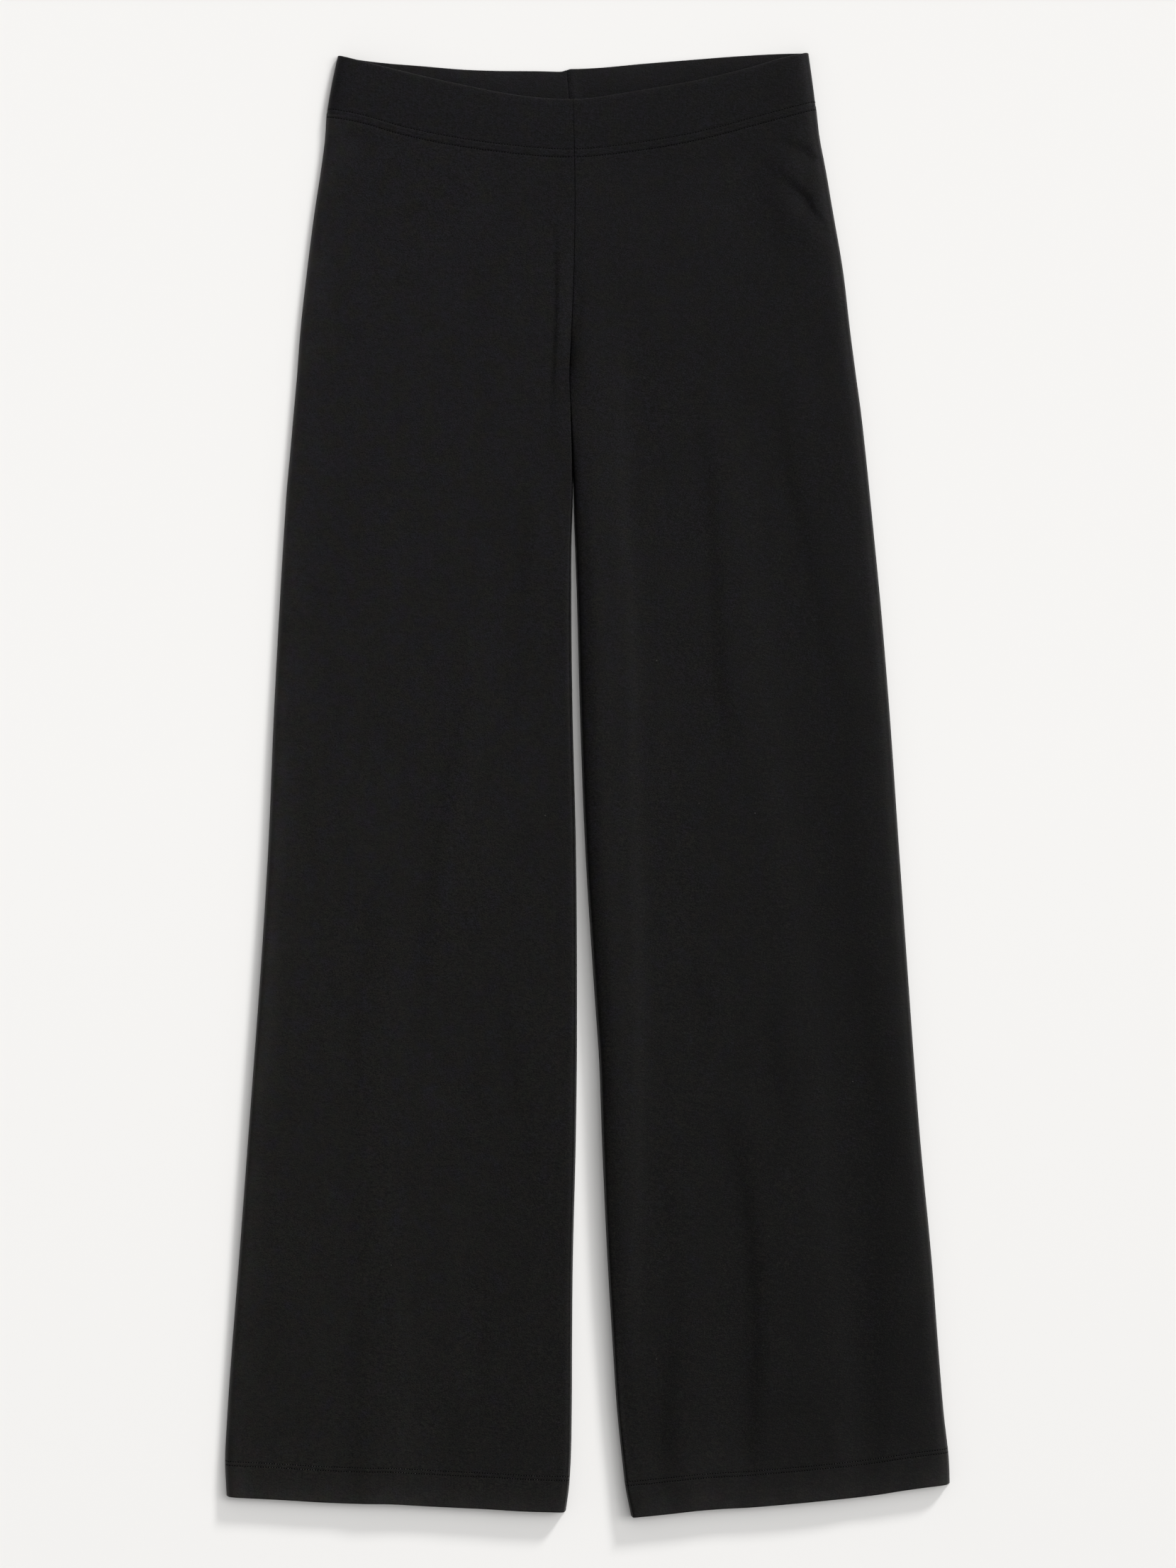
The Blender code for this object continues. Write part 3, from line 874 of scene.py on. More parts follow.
@dataclass(frozen=True)
class Jersey:
    """Black cotton jersey: matt, faintly heathered, with a few specks of lint, and a soft painted glow of light along
    its edges.
    """
    name: str
    shade: tuple = (0.0012, 0.0011, 0.0012)
    light: tuple = (0.0069, 0.0066, 0.0058)
    tone: float = 0.45          # how light it is on the whole, from the shade at 0 to the light colour at 1
    lightest: float = 2.5       # the most that the tone can be
    painted_fade: float = 0.14          # painted shade: tone lost in a metre, from the middle of the garment down, as the light weakens towards the hems
    lean: float = 1.15          # tone lost in a metre from the wearer's right to the left
    fine: Grain = Grain(2.7, 880.0, 1.0, 0.6, 1.6)
    heather: Grain = Grain(1.35, 290.0, 2.0, 0.6, 1.9)
    cloud: Grain = Grain(0.3, 60.0, stretch=0.6)
    ribs: float = 0.1           # share of the tone that the loops of the knit change
    cool: tuple = (0.985, 0.945, 1.42)          # the light colour's change towards the waist
    cool_rise: float = 1.4      # how much of that change comes in a metre
    cool_start: float = 0.28    # and how much there is in the middle of the garment
    cool_patch: Grain = Grain(5.5, 80.0)
    hue: float = 0.18           # how strongly patches of other hues show
    hue_scale: float = 120.0
    painted_glow: tuple = (0.0056, 0.0053, 0.0051)      # colour of the painted glow of light along the outline
    glow_least: float = 0.4     # how much of that shows between the clouds
    glow_cloud: float = 1.2     # and how much more in them
    lint: tuple = (0.060, 0.058, 0.056)
    lint_scale: float = 95.0    # places for lint in a metre
    lint_radius: tuple = (0.012, 0.045)         # the least, and what chance adds, as a share of their spacing
    lint_kept: tuple = (0.93, 0.95)             # the share of the places that stay bare
    lint_shows: float = 0.55
    roughness: float = 0.5
    gloss_change: float = 0.12  # how much the heather changes the roughness
    specular: float = 0.085
    sheen: float = 0.008
    sheen_roughness: float = 0.5
    sheen_tint: tuple = (1.0, 0.985, 0.97, 1.0)
    fuzz: float = 0.0006        # height of the grain as a bump, in metres
    fuzz_strength: float = 0.55
    loop: float = 0.00014       # height of the loops as a bump, in metres
    loop_strength: float = 0.4
    wale: float = 0.72          # width of one column of loops
    course: float = 0.58        # height of one row of loops

    def make(self) -> bpy.types.Material:
        """Builds the material.

        Returns:
            The material.
        """
        g = Graph.finish(self.name)
        place = g.place()
        fine, heather, cloud = (kind.on(g, place) for kind in (self.fine, self.heather, self.cloud))
        loops = self._loops(g)
        across, height, _ = g.axes(place)
        tone = (fine - 0.5) * self.fine.amount + (heather - 0.5) * self.heather.amount
        tone = tone + (cloud - 0.5) * self.cloud.amount + self.tone
        # painted shade: darker towards the hems, where the light is weaker
        tone = tone + height.least(0.0) * self.painted_fade - across * self.lean
        tone = tone * (1.0 - self.ribs / 2 + loops * self.ribs)
        patch = (self.cool_patch.on(g, place) - 0.5) * self.cool_patch.amount
        cool = (height * self.cool_rise + patch + self.cool_start).most(0.0).least(1.0)
        light = g.tint(cool, self.light, tuple(c * k for c, k in zip(self.light, self.cool)))
        colour = g.tint(tone.most(0.0).least(self.lightest), self.shade, light)
        # painted light: a pale glow is added to the colour along the cloth's edges, most where the attribute is high
        glow_share = g.output(g.node("ShaderNodeAttribute", {"attribute_name": "glow_share"}), "Fac")
        colour = self._blend(g, "ADD", glow_share * (self.glow_least + cloud * self.glow_cloud), colour, self.painted_glow)
        hue = g.node("ShaderNodeTexNoise", inputs={"Vector": place, "Scale": self.hue_scale, "Detail": 1.0})
        colour = self._blend(g, "OVERLAY", self.hue, colour, g.output(hue, "Color"))
        under = g.bump((fine + heather) * 0.5, self.fuzz, self.fuzz_strength)
        return g.shade({"Base Color": g.tint(self._specks(g, place), colour, self.lint),
                        "Roughness": (heather - 0.5) * self.gloss_change + self.roughness,
                        "Specular IOR Level": self.specular, "Sheen Weight": self.sheen,
                        "Sheen Roughness": self.sheen_roughness, "Sheen Tint": self.sheen_tint,
                        "Normal": g.bump(loops, self.loop, self.loop_strength, under)})

    def _blend(self, g: Graph, kind: str, amount: "Socket | float", below: Socket, above: "Socket | tuple") -> Socket:
        """A colour blended with another.

        Args:
            g: The material's nodes.
            kind: The way of blending.
            amount: How much of it.
            below: The colour to change.
            above: The colour that changes it.

        Returns:
            The colour.
        """
        above = (*above, 1.0) if isinstance(above, tuple) else above
        node = g.node("ShaderNodeMix", {"data_type": "RGBA", "blend_type": kind, "clamp_factor": False},
                      {"Factor": amount, 6: below, 7: above})
        return Socket(g, node.outputs[2])

    def _loops(self, g: Graph) -> Socket:
        """The knit's columns of V-shaped loops, 0 to 1: a product of sines, with the rows bent down each column.

        Args:
            g: The material's nodes.

        Returns:
            The pattern.
        """
        across, along, _ = g.axes(g.flat("cloth"))
        column = (across * (math.pi / (self.wale * METRE))).sine().maths("ABSOLUTE")
        row = (along * (2 * math.pi / (self.course * METRE)) + column * 2.4).sine()
        return column * (0.6 + row * 0.4)

    def _specks(self, g: Graph, place: Socket) -> Socket:
        """A few specks of lint: cells of a Voronoi pattern, most left bare by their own random number.

        Args:
            g: The material's nodes.
            place: Object coordinates.

        Returns:
            How much lint shows.
        """
        cells = g.node("ShaderNodeTexVoronoi", {"voronoi_dimensions": "3D", "feature": "F1"},
                       {"Vector": place, "Scale": self.lint_scale, "Randomness": 1.0})
        away = g.output(cells, "Distance")
        pick, size, _ = g.axes(g.output(cells, "Color"))
        least, more = self.lint_radius
        speck = 1.0 - (away / (size * more + least)).least(1.0)
        return (speck * 3.0).least(1.0) * pick.smooth(*self.lint_kept) * self.lint_shows


@dataclass(frozen=True)
class Thread:
    """Black polyester sewing thread: a little smoother than the cloth, with its twist, and painted highlights where
    its stitches catch the light.
    """
    name: str
    colour: tuple = (0.0035, 0.0035, 0.0036)
    # colour of the painted highlights, where a stitch catches the light
    pale: tuple = (0.020, 0.020, 0.0205)
    roughness: float = 0.6
    gloss_change: float = 0.2   # how much its patches change the roughness
    patches: float = 420.0      # painted highlights: pale patches in a metre, places where a stitch catches the light
    patch_range: tuple = (0.35, 0.8)
    runs: float = 38.0          # and runs of stitches in a metre that catch it
    run_range: tuple = (0.42, 0.72)
    turns: int = 3              # of its twist in one stitch
    ply: float = 0.00008        # height of the twist as a bump, in metres

    def make(self) -> bpy.types.Material:
        """Builds the material.

        Returns:
            The material.
        """
        g = Graph.finish(self.name)
        place = g.place()
        _, twist, _ = g.axes(g.flat("thread"))
        patches = g.noise(place, self.patches, 1.0)
        shine = patches.smooth(*self.patch_range) * g.noise(place, self.runs, 1.0).smooth(*self.run_range)
        return g.shade({"Base Color": g.tint(shine, self.colour, self.pale),
                        "Roughness": (patches - 0.5) * self.gloss_change + self.roughness,
                        "Specular IOR Level": 0.12, "Sheen Weight": 0.01, "Sheen Roughness": 0.4,
                        "Normal": g.bump((twist * (2 * math.pi * self.turns)).sine(), self.ply, 0.6)})


@dataclass(frozen=True)
class HoleShade:
    """The dark mouth of a needle hole: painted shade, a near-black disc where the hole lies deep in its shade."""
    name: str = "needle_hole_shade"
    colour: tuple = (0.0004, 0.0004, 0.0004)

    def make(self) -> bpy.types.Material:
        """Builds the material."""
        return Graph.finish(self.name).shade({"Base Color": (*self.colour, 1.0), "Roughness": 1.0,
                                              "Specular IOR Level": 0.02})


@dataclass(frozen=True)
class PaperSurface:
    """The plain pale floor: matt, almost white, with a trace of warmth, and painted shade that makes it darker
    towards the hems, where the light is weaker.
    """
    name: str = "pale_floor"
    colour: tuple = (0.791, 0.784, 0.776)
    painted_falloff: float = 0.05       # painted shade: share lost in a metre, from the middle of the garment down
    roughness: float = 0.95

    def make(self) -> bpy.types.Material:
        """Builds the material.

        Returns:
            The material.
        """
        g = Graph.finish(self.name)
        _, height, _ = g.axes(g.place())
        # painted shade: the floor darkens towards the hems
        colour = g.tint(1.0 + height.least(0.0) * self.painted_falloff, (0.0, 0.0, 0.0), self.colour)
        return g.shade({"Base Color": colour, "Roughness": self.roughness, "Specular IOR Level": 0.1})


# --- The garment ---

@dataclass(frozen=True)
class Cloth:
    """Sizes of the cloth that every piece shares."""
    ply: float = 1.2            # one thickness of the knit
    hem_wall: float = 2.0       # where the hem is turned up
    band_wall: float = 2.2      # two plies of the waistband
    turn: float = 26.4          # depth of the turned hem
    turn_ramp: tuple = (1.4, 1.6)       # how far below and above its raw edge the step in the wall reaches
    ease: float = 0.3           # between the CAD part's pieces at a seam
    joined: float = 0.06        # what is left of it where a seam is pulled shut
    band_fold: float = 2.4      # height of the outermost line of the waistband's side folds
    hem_roll: float = 0.5       # half the rounded edge of a hem
    band_roll: float = 0.6      # and of the waistband's folded top edge
    side_rim: float = 0.25      # how far the front's rim stands proud at its side fold
    back_rim: float = 0.35      # and the back's at both of its edges


CLOTH = Cloth()
SIDE_SOFTNESS = {               # (height, softness) rows: how steeply the front comes up from its side fold
    Leg.RIGHT: ((-553.0, 1.8), (-450.0, 1.5), (-300.0, 0.8), (-100.0, 0.9), (0.0, 1.4), (100.0, 2.2), (320.0, 2.6)),
    Leg.LEFT: ((-553.0, 1.4), (552.0, 1.4)),
}
INSEAM_SOFTNESS = {             # the same for its inseam
    Leg.RIGHT: ((-553.0, 0.55), (-100.0, 0.5), (120.0, 0.36), (216.0, 0.13), (330.0, 0.12)),
    Leg.LEFT: ((-553.0, 0.35), (-420.0, 0.35), (-280.0, 0.4), (-120.0, 0.55), (0.0, 0.55), (120.0, 0.5),
               (216.0, 0.5), (265.0, 0.25), (300.0, 0.2)),
}
INNER_RIM = {Leg.RIGHT: 0.03, Leg.LEFT: 0.12}       # how far the front's rim stands proud at its inner edge
BAND_RIM = {Leg.RIGHT: 0.08, Leg.LEFT: 0.13}        # and the waistband's at the centre front
FRONT_TURN = (214.0, 292.0)     # the front seam dives between these heights
FLANK_CLEAR = 26.0              # the folds die out within this distance of a side fold
INSEAM_CLEAR = 5.0              # and of an inseam
WAIST_CLEAR = 22.0              # and of the waist seam
STITCH_CLEAR = 3.0              # the pull of the stitches, of a side fold
FOLD_LIFT = 1.48                # how much higher the folds stand than their tables say
FLANK_REACH = 55.0              # how far from its line a flank's step is still felt
CREASE_TAIL = 3.0               # how much wider a crease is on its far side
INSEAM_LIFT = (                 # (height, how much higher the left thigh lies), falling off over LIFT_REACH
    (-553.0, 0.5), (-480.0, 2.5), (-400.0, 4.0), (-300.0, 5.0), (-200.0, 5.5), (-120.0, 5.5), (0.0, 5.2),
    (110.0, 4.0), (216.0, 1.5), (280.0, 0.0))
LIFT_REACH = 110.0
SHOULDER = (                    # (height, how far its inner edge droops), over SHOULDER_REACH
    (-553.0, 0.4), (-480.0, 0.6), (-400.0, 1.2), (-300.0, 2.0), (-200.0, 2.5), (-100.0, 2.6), (0.0, 2.4),
    (100.0, 2.2), (180.0, 1.6), (240.0, 0.5), (280.0, 0.0))
SHOULDER_REACH = 8.0
SEAM_TUCK = (                   # (height, how deep it dips under the right leg's lap), over TUCK_REACH
    (205.0, 0.0), (250.0, 0.2), (275.0, 0.6), (292.0, 1.2), (306.0, 2.2), (318.0, 3.0), (332.0, 2.4),
    (345.0, 1.3), (365.0, 0.8), (385.0, 0.4), (405.0, 0.0))
TUCK_REACH = 5.0
BACK_LEAN = (1.3, 3.6)          # how far the waistband's centre back seam leans to the right, at its foot and its top
BACK_CORNER = {                 # (rise, reach) of the slope of the top edge there, and of its rounded tip
    Leg.RIGHT: ((-1.1, 25.0), (1.2, 3.0)),
    Leg.LEFT: ((1.2, 22.0), (-0.8, 1.5)),
}
BACK_GROOVE, BACK_GAP = (0.15, 0.3), (0.5, 1.5)     # (depth, reach) of that seam's groove and gap on the inside
BACK_RIDGE = (0.35, 3.0, 3.5)   # (rise, distance, width) of its allowance, on the left half's inside
SEAM_DIP, BAND_DIP = 0.07, 0.08     # how deep the left half lies beside the front's centre seam, over DIP_REACH
DIP_REACH = 0.4
SIDE_GLOW_HEAD = {                   # (height, how much further in the painted glow of light reaches at this side fold)
    Leg.RIGHT: ((-553.0, 4.5), (-300.0, 4.0), (-100.0, 5.5), (100.0, 6.8), (320.0, 7.8), (552.0, 7.0)),
    Leg.LEFT: ((-553.0, 0.0), (552.0, 0.0)),
}
# how far the painted glow of light reaches in from the hems and from the waistband's top edge
HEM_GLOW_REACH = {Leg.RIGHT: 9.5, Leg.LEFT: 19.0}
TOP_GLOW_REACH = 1.3
BACK_GLOW_START = 2.0           # how far above the back's top edge its painted glow would be greatest


class Swell(NamedTuple):
    """A low swelling along the middle of the waistband."""
    rise: float
    above: float                # height of its middle above the waist seam
    width: float


BAND_SWELL = Swell(rise=0.25, above=22.0, width=14.0)

HEM_STITCH = CoverStitch(rows=(24.2, 27.05), pitch=1.96, groove=0.10, groove_width=0.5, strip=0.04, mouth=0.46)
WAIST_STITCH = CoverStitch(rows=(-2.9, 2.9), pitch=2.1, groove=0.25, groove_width=0.55, strip=0.14, mouth=0.54)
ROW_POINTS = 900                # places at which the line of a needle row is worked out
HIP_COLUMNS = (3.0, 68.0, 1.7)      # (from, to, step) of closer columns at the left hip's creases, from the side
HIP_ROWS = (112.0, 14.0, 1.9)       # of closer rows there, below the waist seam
PLEAT_COLUMNS = (25.0, 12.0, 0.85)  # and of closer columns at the right leg's pleat, from the centre seam


@dataclass
class Spot:
    """Places on a panel, as arrays of one shape."""
    across: Array
    height: Array
    from_side: Array
    from_inner: Array
    above_hem: Array
    below_waist: Array
    open_centre: Array          # 1 where the row ends at the centre seam, 0 where it ends at the inseam


def edge_rows(name: str) -> list:
    """The (height, across) rows of one edge of the outline, by its name in Section."""
    return [(section.height, getattr(section, name)) for section in SECTIONS]


def level_rows(leg: Leg) -> list:
    """The (height, rise) rows of one leg's front."""
    return [(level.height, getattr(level, leg.value)) for level in LEVELS]


def fold_height(leg: Leg, across: Array, height: Array) -> Array:
    """How far the long folds lift the front above its level.

    Each flank adds rise / 2 * tanh(2 d / width) * exp(-|d| / reach), with d the distance across from its line. That
    is a step of its rise that the cloth loses again, slowly, on both sides.

    Args:
        leg: Whose folds.
        across: Places across.
        height: Their heights.

    Returns:
        Heights above the level.
    """
    total = np.zeros(np.broadcast(across, height).shape)
    for marks in FLANKS[leg]:
        places, _, rises, widths = zip(*marks)
        rise = np.interp(height, places, rises, right=0)        # one that runs out over the hem keeps its rise
        width = np.interp(height, places, widths)
        away = across - smooth_line(marks, height)
        total += FOLD_LIFT * rise / 2 * np.tanh(2 * away / width) * np.exp(-np.abs(away) / FLANK_REACH)
    return total


def crease_depth(leg: Leg, across: Array, height: Array) -> Array:
    """How far the short creases pinch the cloth in.

    Along each crease the depth is the line between its marks, and across it a bell curve of the distance to its
    nearest stretch. The bell is CREASE_TAIL times wider on the far side, so only the near side is steep.

    Args:
        leg: Whose creases.
        across: Places across.
        height: Their heights.

    Returns:
        Depths below the level.
    """
    total = np.zeros(np.broadcast(across, height).shape)
    for marks in CREASES[leg]:
        deepest = np.zeros_like(total)
        for one, two in zip(marks, marks[1:]):
            dx, dy = two.across - one.across, two.height - one.height
            t = ((across - one.across) * dx + (height - one.height) * dy) / (dx * dx + dy * dy)
            t = np.clip(t, 0, 1)
            off_x, off_y = across - one.across - dx * t, height - one.height - dy * t
            away = np.hypot(off_x, off_y)
            depth = one.depth + (two.depth - one.depth) * t
            width = one.width + (two.width - one.width) * t
            width = np.where(off_y * dx - off_x * dy < 0, width * CREASE_TAIL, width)
            pinch = depth * np.exp(-(away / width) ** 2)
            deepest = np.where(np.abs(pinch) > np.abs(deepest), pinch, deepest)
        total += deepest
    return total


class PanelPlan:
    """Where the points of a leg's front or back panel lie on the surface that the garment is laid on."""

    def __init__(self, leg: Leg, ply: Ply) -> None:
        """Reads the panel's own corners out of the tables.

        Args:
            leg: Which leg.
            ply: Its front or its back.
        """
        self.leg, self.ply = leg, ply
        self.side = edge_rows(leg.value + "_side")
        self.inner = edge_rows(leg.value + "_inner")
        self.seam = WAIST_SEAM[ply]
        hem = HEM[leg]
        self.hem_side, self.hem_inner = (hem[0], hem[-1]) if leg is Leg.RIGHT else (hem[-1], hem[0])
        self.waist_side = self.seam[0] if leg is Leg.RIGHT else self.seam[-1]
        self.centre = float(smooth_line(self.inner, smooth_line(self.seam, SEAM_MEETS_CENTRE)))
        self.length = self.waist_side.height - self.hem_side.height
        self.width = abs(self.hem_inner.across - self.hem_side.across)

    def _height(self, u: Array, v: Array) -> tuple:
        """Height of a place, and of the waist seam above it: hem + length v + (waist - hem - length) v^2.

        Args:
            u: Shares of the way from the side to the middle.
            v: Shares of the way up the piece.

        Returns:
            The heights, and the waist seam's above them.
        """
        hem_x = self.hem_side.across + (self.hem_inner.across - self.hem_side.across) * u
        waist_x = self.waist_side.across + (self.centre - self.waist_side.across) * u
        hem_y = smooth_line(HEM[self.leg], hem_x)
        waist_y = smooth_line(self.seam, waist_x) - CLOTH.joined / 2
        return hem_y + self.length * v + (waist_y - hem_y - self.length) * v ** 2, waist_y

    def spot(self, u: Array, v: Array) -> Spot:
        """Places by their share u of the way from the side to the middle and v from the hem to the waist.

        Args:
            u: Shares of the way from the side to the middle.
            v: Shares of the way up the piece.

        Returns:
            The places.
        """
        u, v = np.broadcast_arrays(np.asarray(u, float), np.asarray(v, float))
        height, waist = self._height(u, v)
        side_height, _ = self._height(np.zeros_like(u), v)
        inner_height, _ = self._height(np.ones_like(u), v)
        side_x = smooth_line(self.side, side_height)
        inner_x = smooth_line(self.inner, inner_height)
        row_width = np.abs(inner_x - side_x)
        return Spot(side_x + (inner_x - side_x) * u, height, row_width * u, row_width * (1 - u), v * self.length,
                    waist - height, soft_step(inner_height, *FRONT_TURN))

    def row_below_waist(self, u: Array, below: float) -> Array:
        """The share v at which the surface is a distance below the waist seam, found by three Newton steps.

        Args:
            u: Shares of the way from the side to the middle.
            below: The distance below the seam.

        Returns:
            A share v for each u.
        """
        v, ahead = np.full_like(u, 1 - below / self.length), 1e-4
        for _ in range(3):
            here = self.spot(u, v).below_waist
            v = v - (here - below) * ahead / (self.spot(u, v + ahead).below_waist - here)
        return v


def section_normals(points: Array, up: float) -> tuple:
    """Unit normals of each row's line in its own upright plane, with z turned to the sign of up where it can be.

    Args:
        points: A grid of points.
        up: 1 or -1.

    Returns:
        Their x and their z.
    """
    along_x = np.gradient(points[..., 0], axis=1)
    along_z = np.gradient(points[..., 2], axis=1)
    turn = np.sign(along_x) * up
    length = np.hypot(along_x, along_z)
    return -along_z / length * turn, along_x / length * turn


@dataclass
class LegPanel:
    """One panel of a leg: its plan, its height, and the wall made from them."""
    leg: Leg
    ply: Ply
    columns: Spacing
    rows: Spacing

    def __post_init__(self) -> None:
        """Lays out the plan and the unevenness of the cloth."""
        self.plan = PanelPlan(self.leg, self.ply)
        self.uneven = Undulation(seed=11 if self.leg is Leg.RIGHT else 12, height=0.10, shortest=70, longest=190)

    @property
    def name(self) -> str:
        """The CAD node that the panel stands for."""
        return f"{self.ply.value}_leg_{self.leg.value}"

    def wall_thickness(self, above_hem: Array) -> Array:
        """Two plies up to the turned hem's raw edge, one above it.

        Args:
            above_hem: Distances from the hem.

        Returns:
            The wall's thickness.
        """
        below, above = CLOTH.turn_ramp
        single = soft_step(above_hem, CLOTH.turn - below, CLOTH.turn + above)
        return CLOTH.hem_wall + (CLOTH.ply - CLOTH.hem_wall) * single

    def surface(self, u: Array, v: Array) -> Array:
        """Points of the panel's outer face: the front rises from its side fold and levels off, with its folds.

        Args:
            u: Shares of the way from the side to the middle.
            v: Shares of the way up the piece.

        Returns:
            The points.
        """
        spot = self.plan.spot(u, v)
        stitched = HEM_STITCH.relief(spot.above_hem) + WAIST_STITCH.relief(-spot.below_waist)
        if self.ply is Ply.BACK:
            return np.stack([spot.across, spot.height, np.maximum(-stitched, 0)], axis=-1)
        start = self.wall_thickness(spot.above_hem) + CLOTH.ease
        level = smooth_line(level_rows(self.leg), spot.height)
        if self.leg is Leg.LEFT:
            level = level + smooth_line(INSEAM_LIFT, spot.height) * np.exp(-spot.from_inner / LIFT_REACH)
            level = level - smooth_line(SHOULDER, spot.height) * np.exp(-(spot.from_inner / SHOULDER_REACH) ** 2)
        clear = soft_step(spot.from_side, 0, FLANK_CLEAR)
        clear = clear * np.maximum(soft_step(spot.from_inner, 0, INSEAM_CLEAR), spot.open_centre)
        folds = fold_height(self.leg, spot.across, spot.height) + self.uneven.at(spot.across, spot.height)
        calm = soft_step(spot.below_waist, 0, WAIST_CLEAR)
        level = level + folds * clear * calm - crease_depth(self.leg, spot.across, spot.height)
        softness = smooth_line(INSEAM_SOFTNESS[self.leg], spot.height)
        inner = spot.open_centre + (1 - spot.open_centre) * levelling(spot.from_inner, softness)
        outer = levelling(spot.from_side, smooth_line(SIDE_SOFTNESS[self.leg], spot.height))
        rise = start + (level - start) * outer * inner
        ditch = 0.0
        if self.leg is Leg.LEFT:
            ditch = SEAM_DIP * np.exp(-spot.from_inner / DIP_REACH) * spot.open_centre
            ditch = ditch + smooth_line(SEAM_TUCK, spot.height) * np.exp(-spot.from_inner / TUCK_REACH)
        settled = soft_step(spot.from_side, 0, STITCH_CLEAR)
        return np.stack([spot.across, spot.height, rise - ditch + stitched * settled], axis=-1)

    def grid(self) -> tuple:
        """The panel's shares u and v, fine at its edges, stitching and hem.

        Returns:
            The shares u as a row, and v as a column.
        """
        width, length = self.plan.width, self.plan.length
        close_columns, close_rows = (), ()
        if self.ply is Ply.FRONT and self.leg is Leg.LEFT:
            low, high, step = HIP_ROWS
            close_columns, close_rows = (HIP_COLUMNS,), ((length - low, length - high, step),)
        elif self.ply is Ply.FRONT:
            far, near, step = PLEAT_COLUMNS
            close_columns = ((width - far, width - near, step),)
        u = self.columns.places(0.0, width, (0.0, width), close_columns) / width
        marks = (0.0, *HEM_STITCH.rows, length - WAIST_STITCH.rows[1], length)
        v = self.rows.places(CLOTH.hem_roll, length, marks, close_rows) / length
        return u[None, :], v[:, None]

    def wall(self) -> Wall:
        """The closed wall of the panel.

        Returns:
            The wall.
        """
        u, v = self.grid()
        points = self.surface(u, v)
        spot = self.plan.spot(u, v)
        normal_x, normal_z = section_normals(points, self.ply.up)
        if self.ply is Ply.FRONT:
            normal_x[:, 0], normal_z[:, 0] = -self.leg.inwards, 0.0
            angle = spot.open_centre[:, -1] * math.pi / 2
            normal_x[:, -1], normal_z[:, -1] = self.leg.inwards * np.cos(angle), np.sin(angle)
            edges = Edges(CLOTH.hem_roll, 0.0, CLOTH.side_rim, INNER_RIM[self.leg])
        else:
            normal_x[:], normal_z[:] = 0.0, -1.0
            edges = Edges(CLOTH.hem_roll, 0.0, CLOTH.back_rim, CLOTH.back_rim)
        thick = self.wall_thickness(spot.above_hem)
        inner = points.copy()
        inner[..., 0] -= normal_x * thick
        if self.ply is Ply.FRONT:
            inner[..., 2] -= normal_z * thick
        else:
            inner[..., 2] = thick
        # painted light: the cloth is painted lighter near its side fold and its hem, as if lit there
        head = smooth_line(SIDE_GLOW_HEAD[self.leg], spot.height)
        glow_share = painted_glow(spot.from_side - head, spot.above_hem, HEM_GLOW_REACH[self.leg])
        return Wall(Surface(points, glow_share), inner, edges)

    def build(self, finish: bpy.types.Material) -> bpy.types.Object:
        """Adds the panel to the scene in place of its CAD node.

        Args:
            finish: The cloth's material.

        Returns:
            The panel.
        """
        piece = add_wall("cloth_" + self.name, self.wall())
        piece.data.materials.append(finish)
        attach(piece, "root")
        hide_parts(self.name)
        return piece

    def needle_lines(self) -> list:
        """The shares across and up of each needle row on this panel, the hem's two and then the waist's.

        Returns:
            Pairs of shares, one for each row.
        """
        u = np.linspace(0, 1, ROW_POINTS)
        below = WAIST_STITCH.rows[1] - CLOTH.joined / 2
        return [(u, np.full_like(u, off / self.plan.length)) for off in HEM_STITCH.rows] + [
            (u, self.plan.row_below_waist(u, below))]


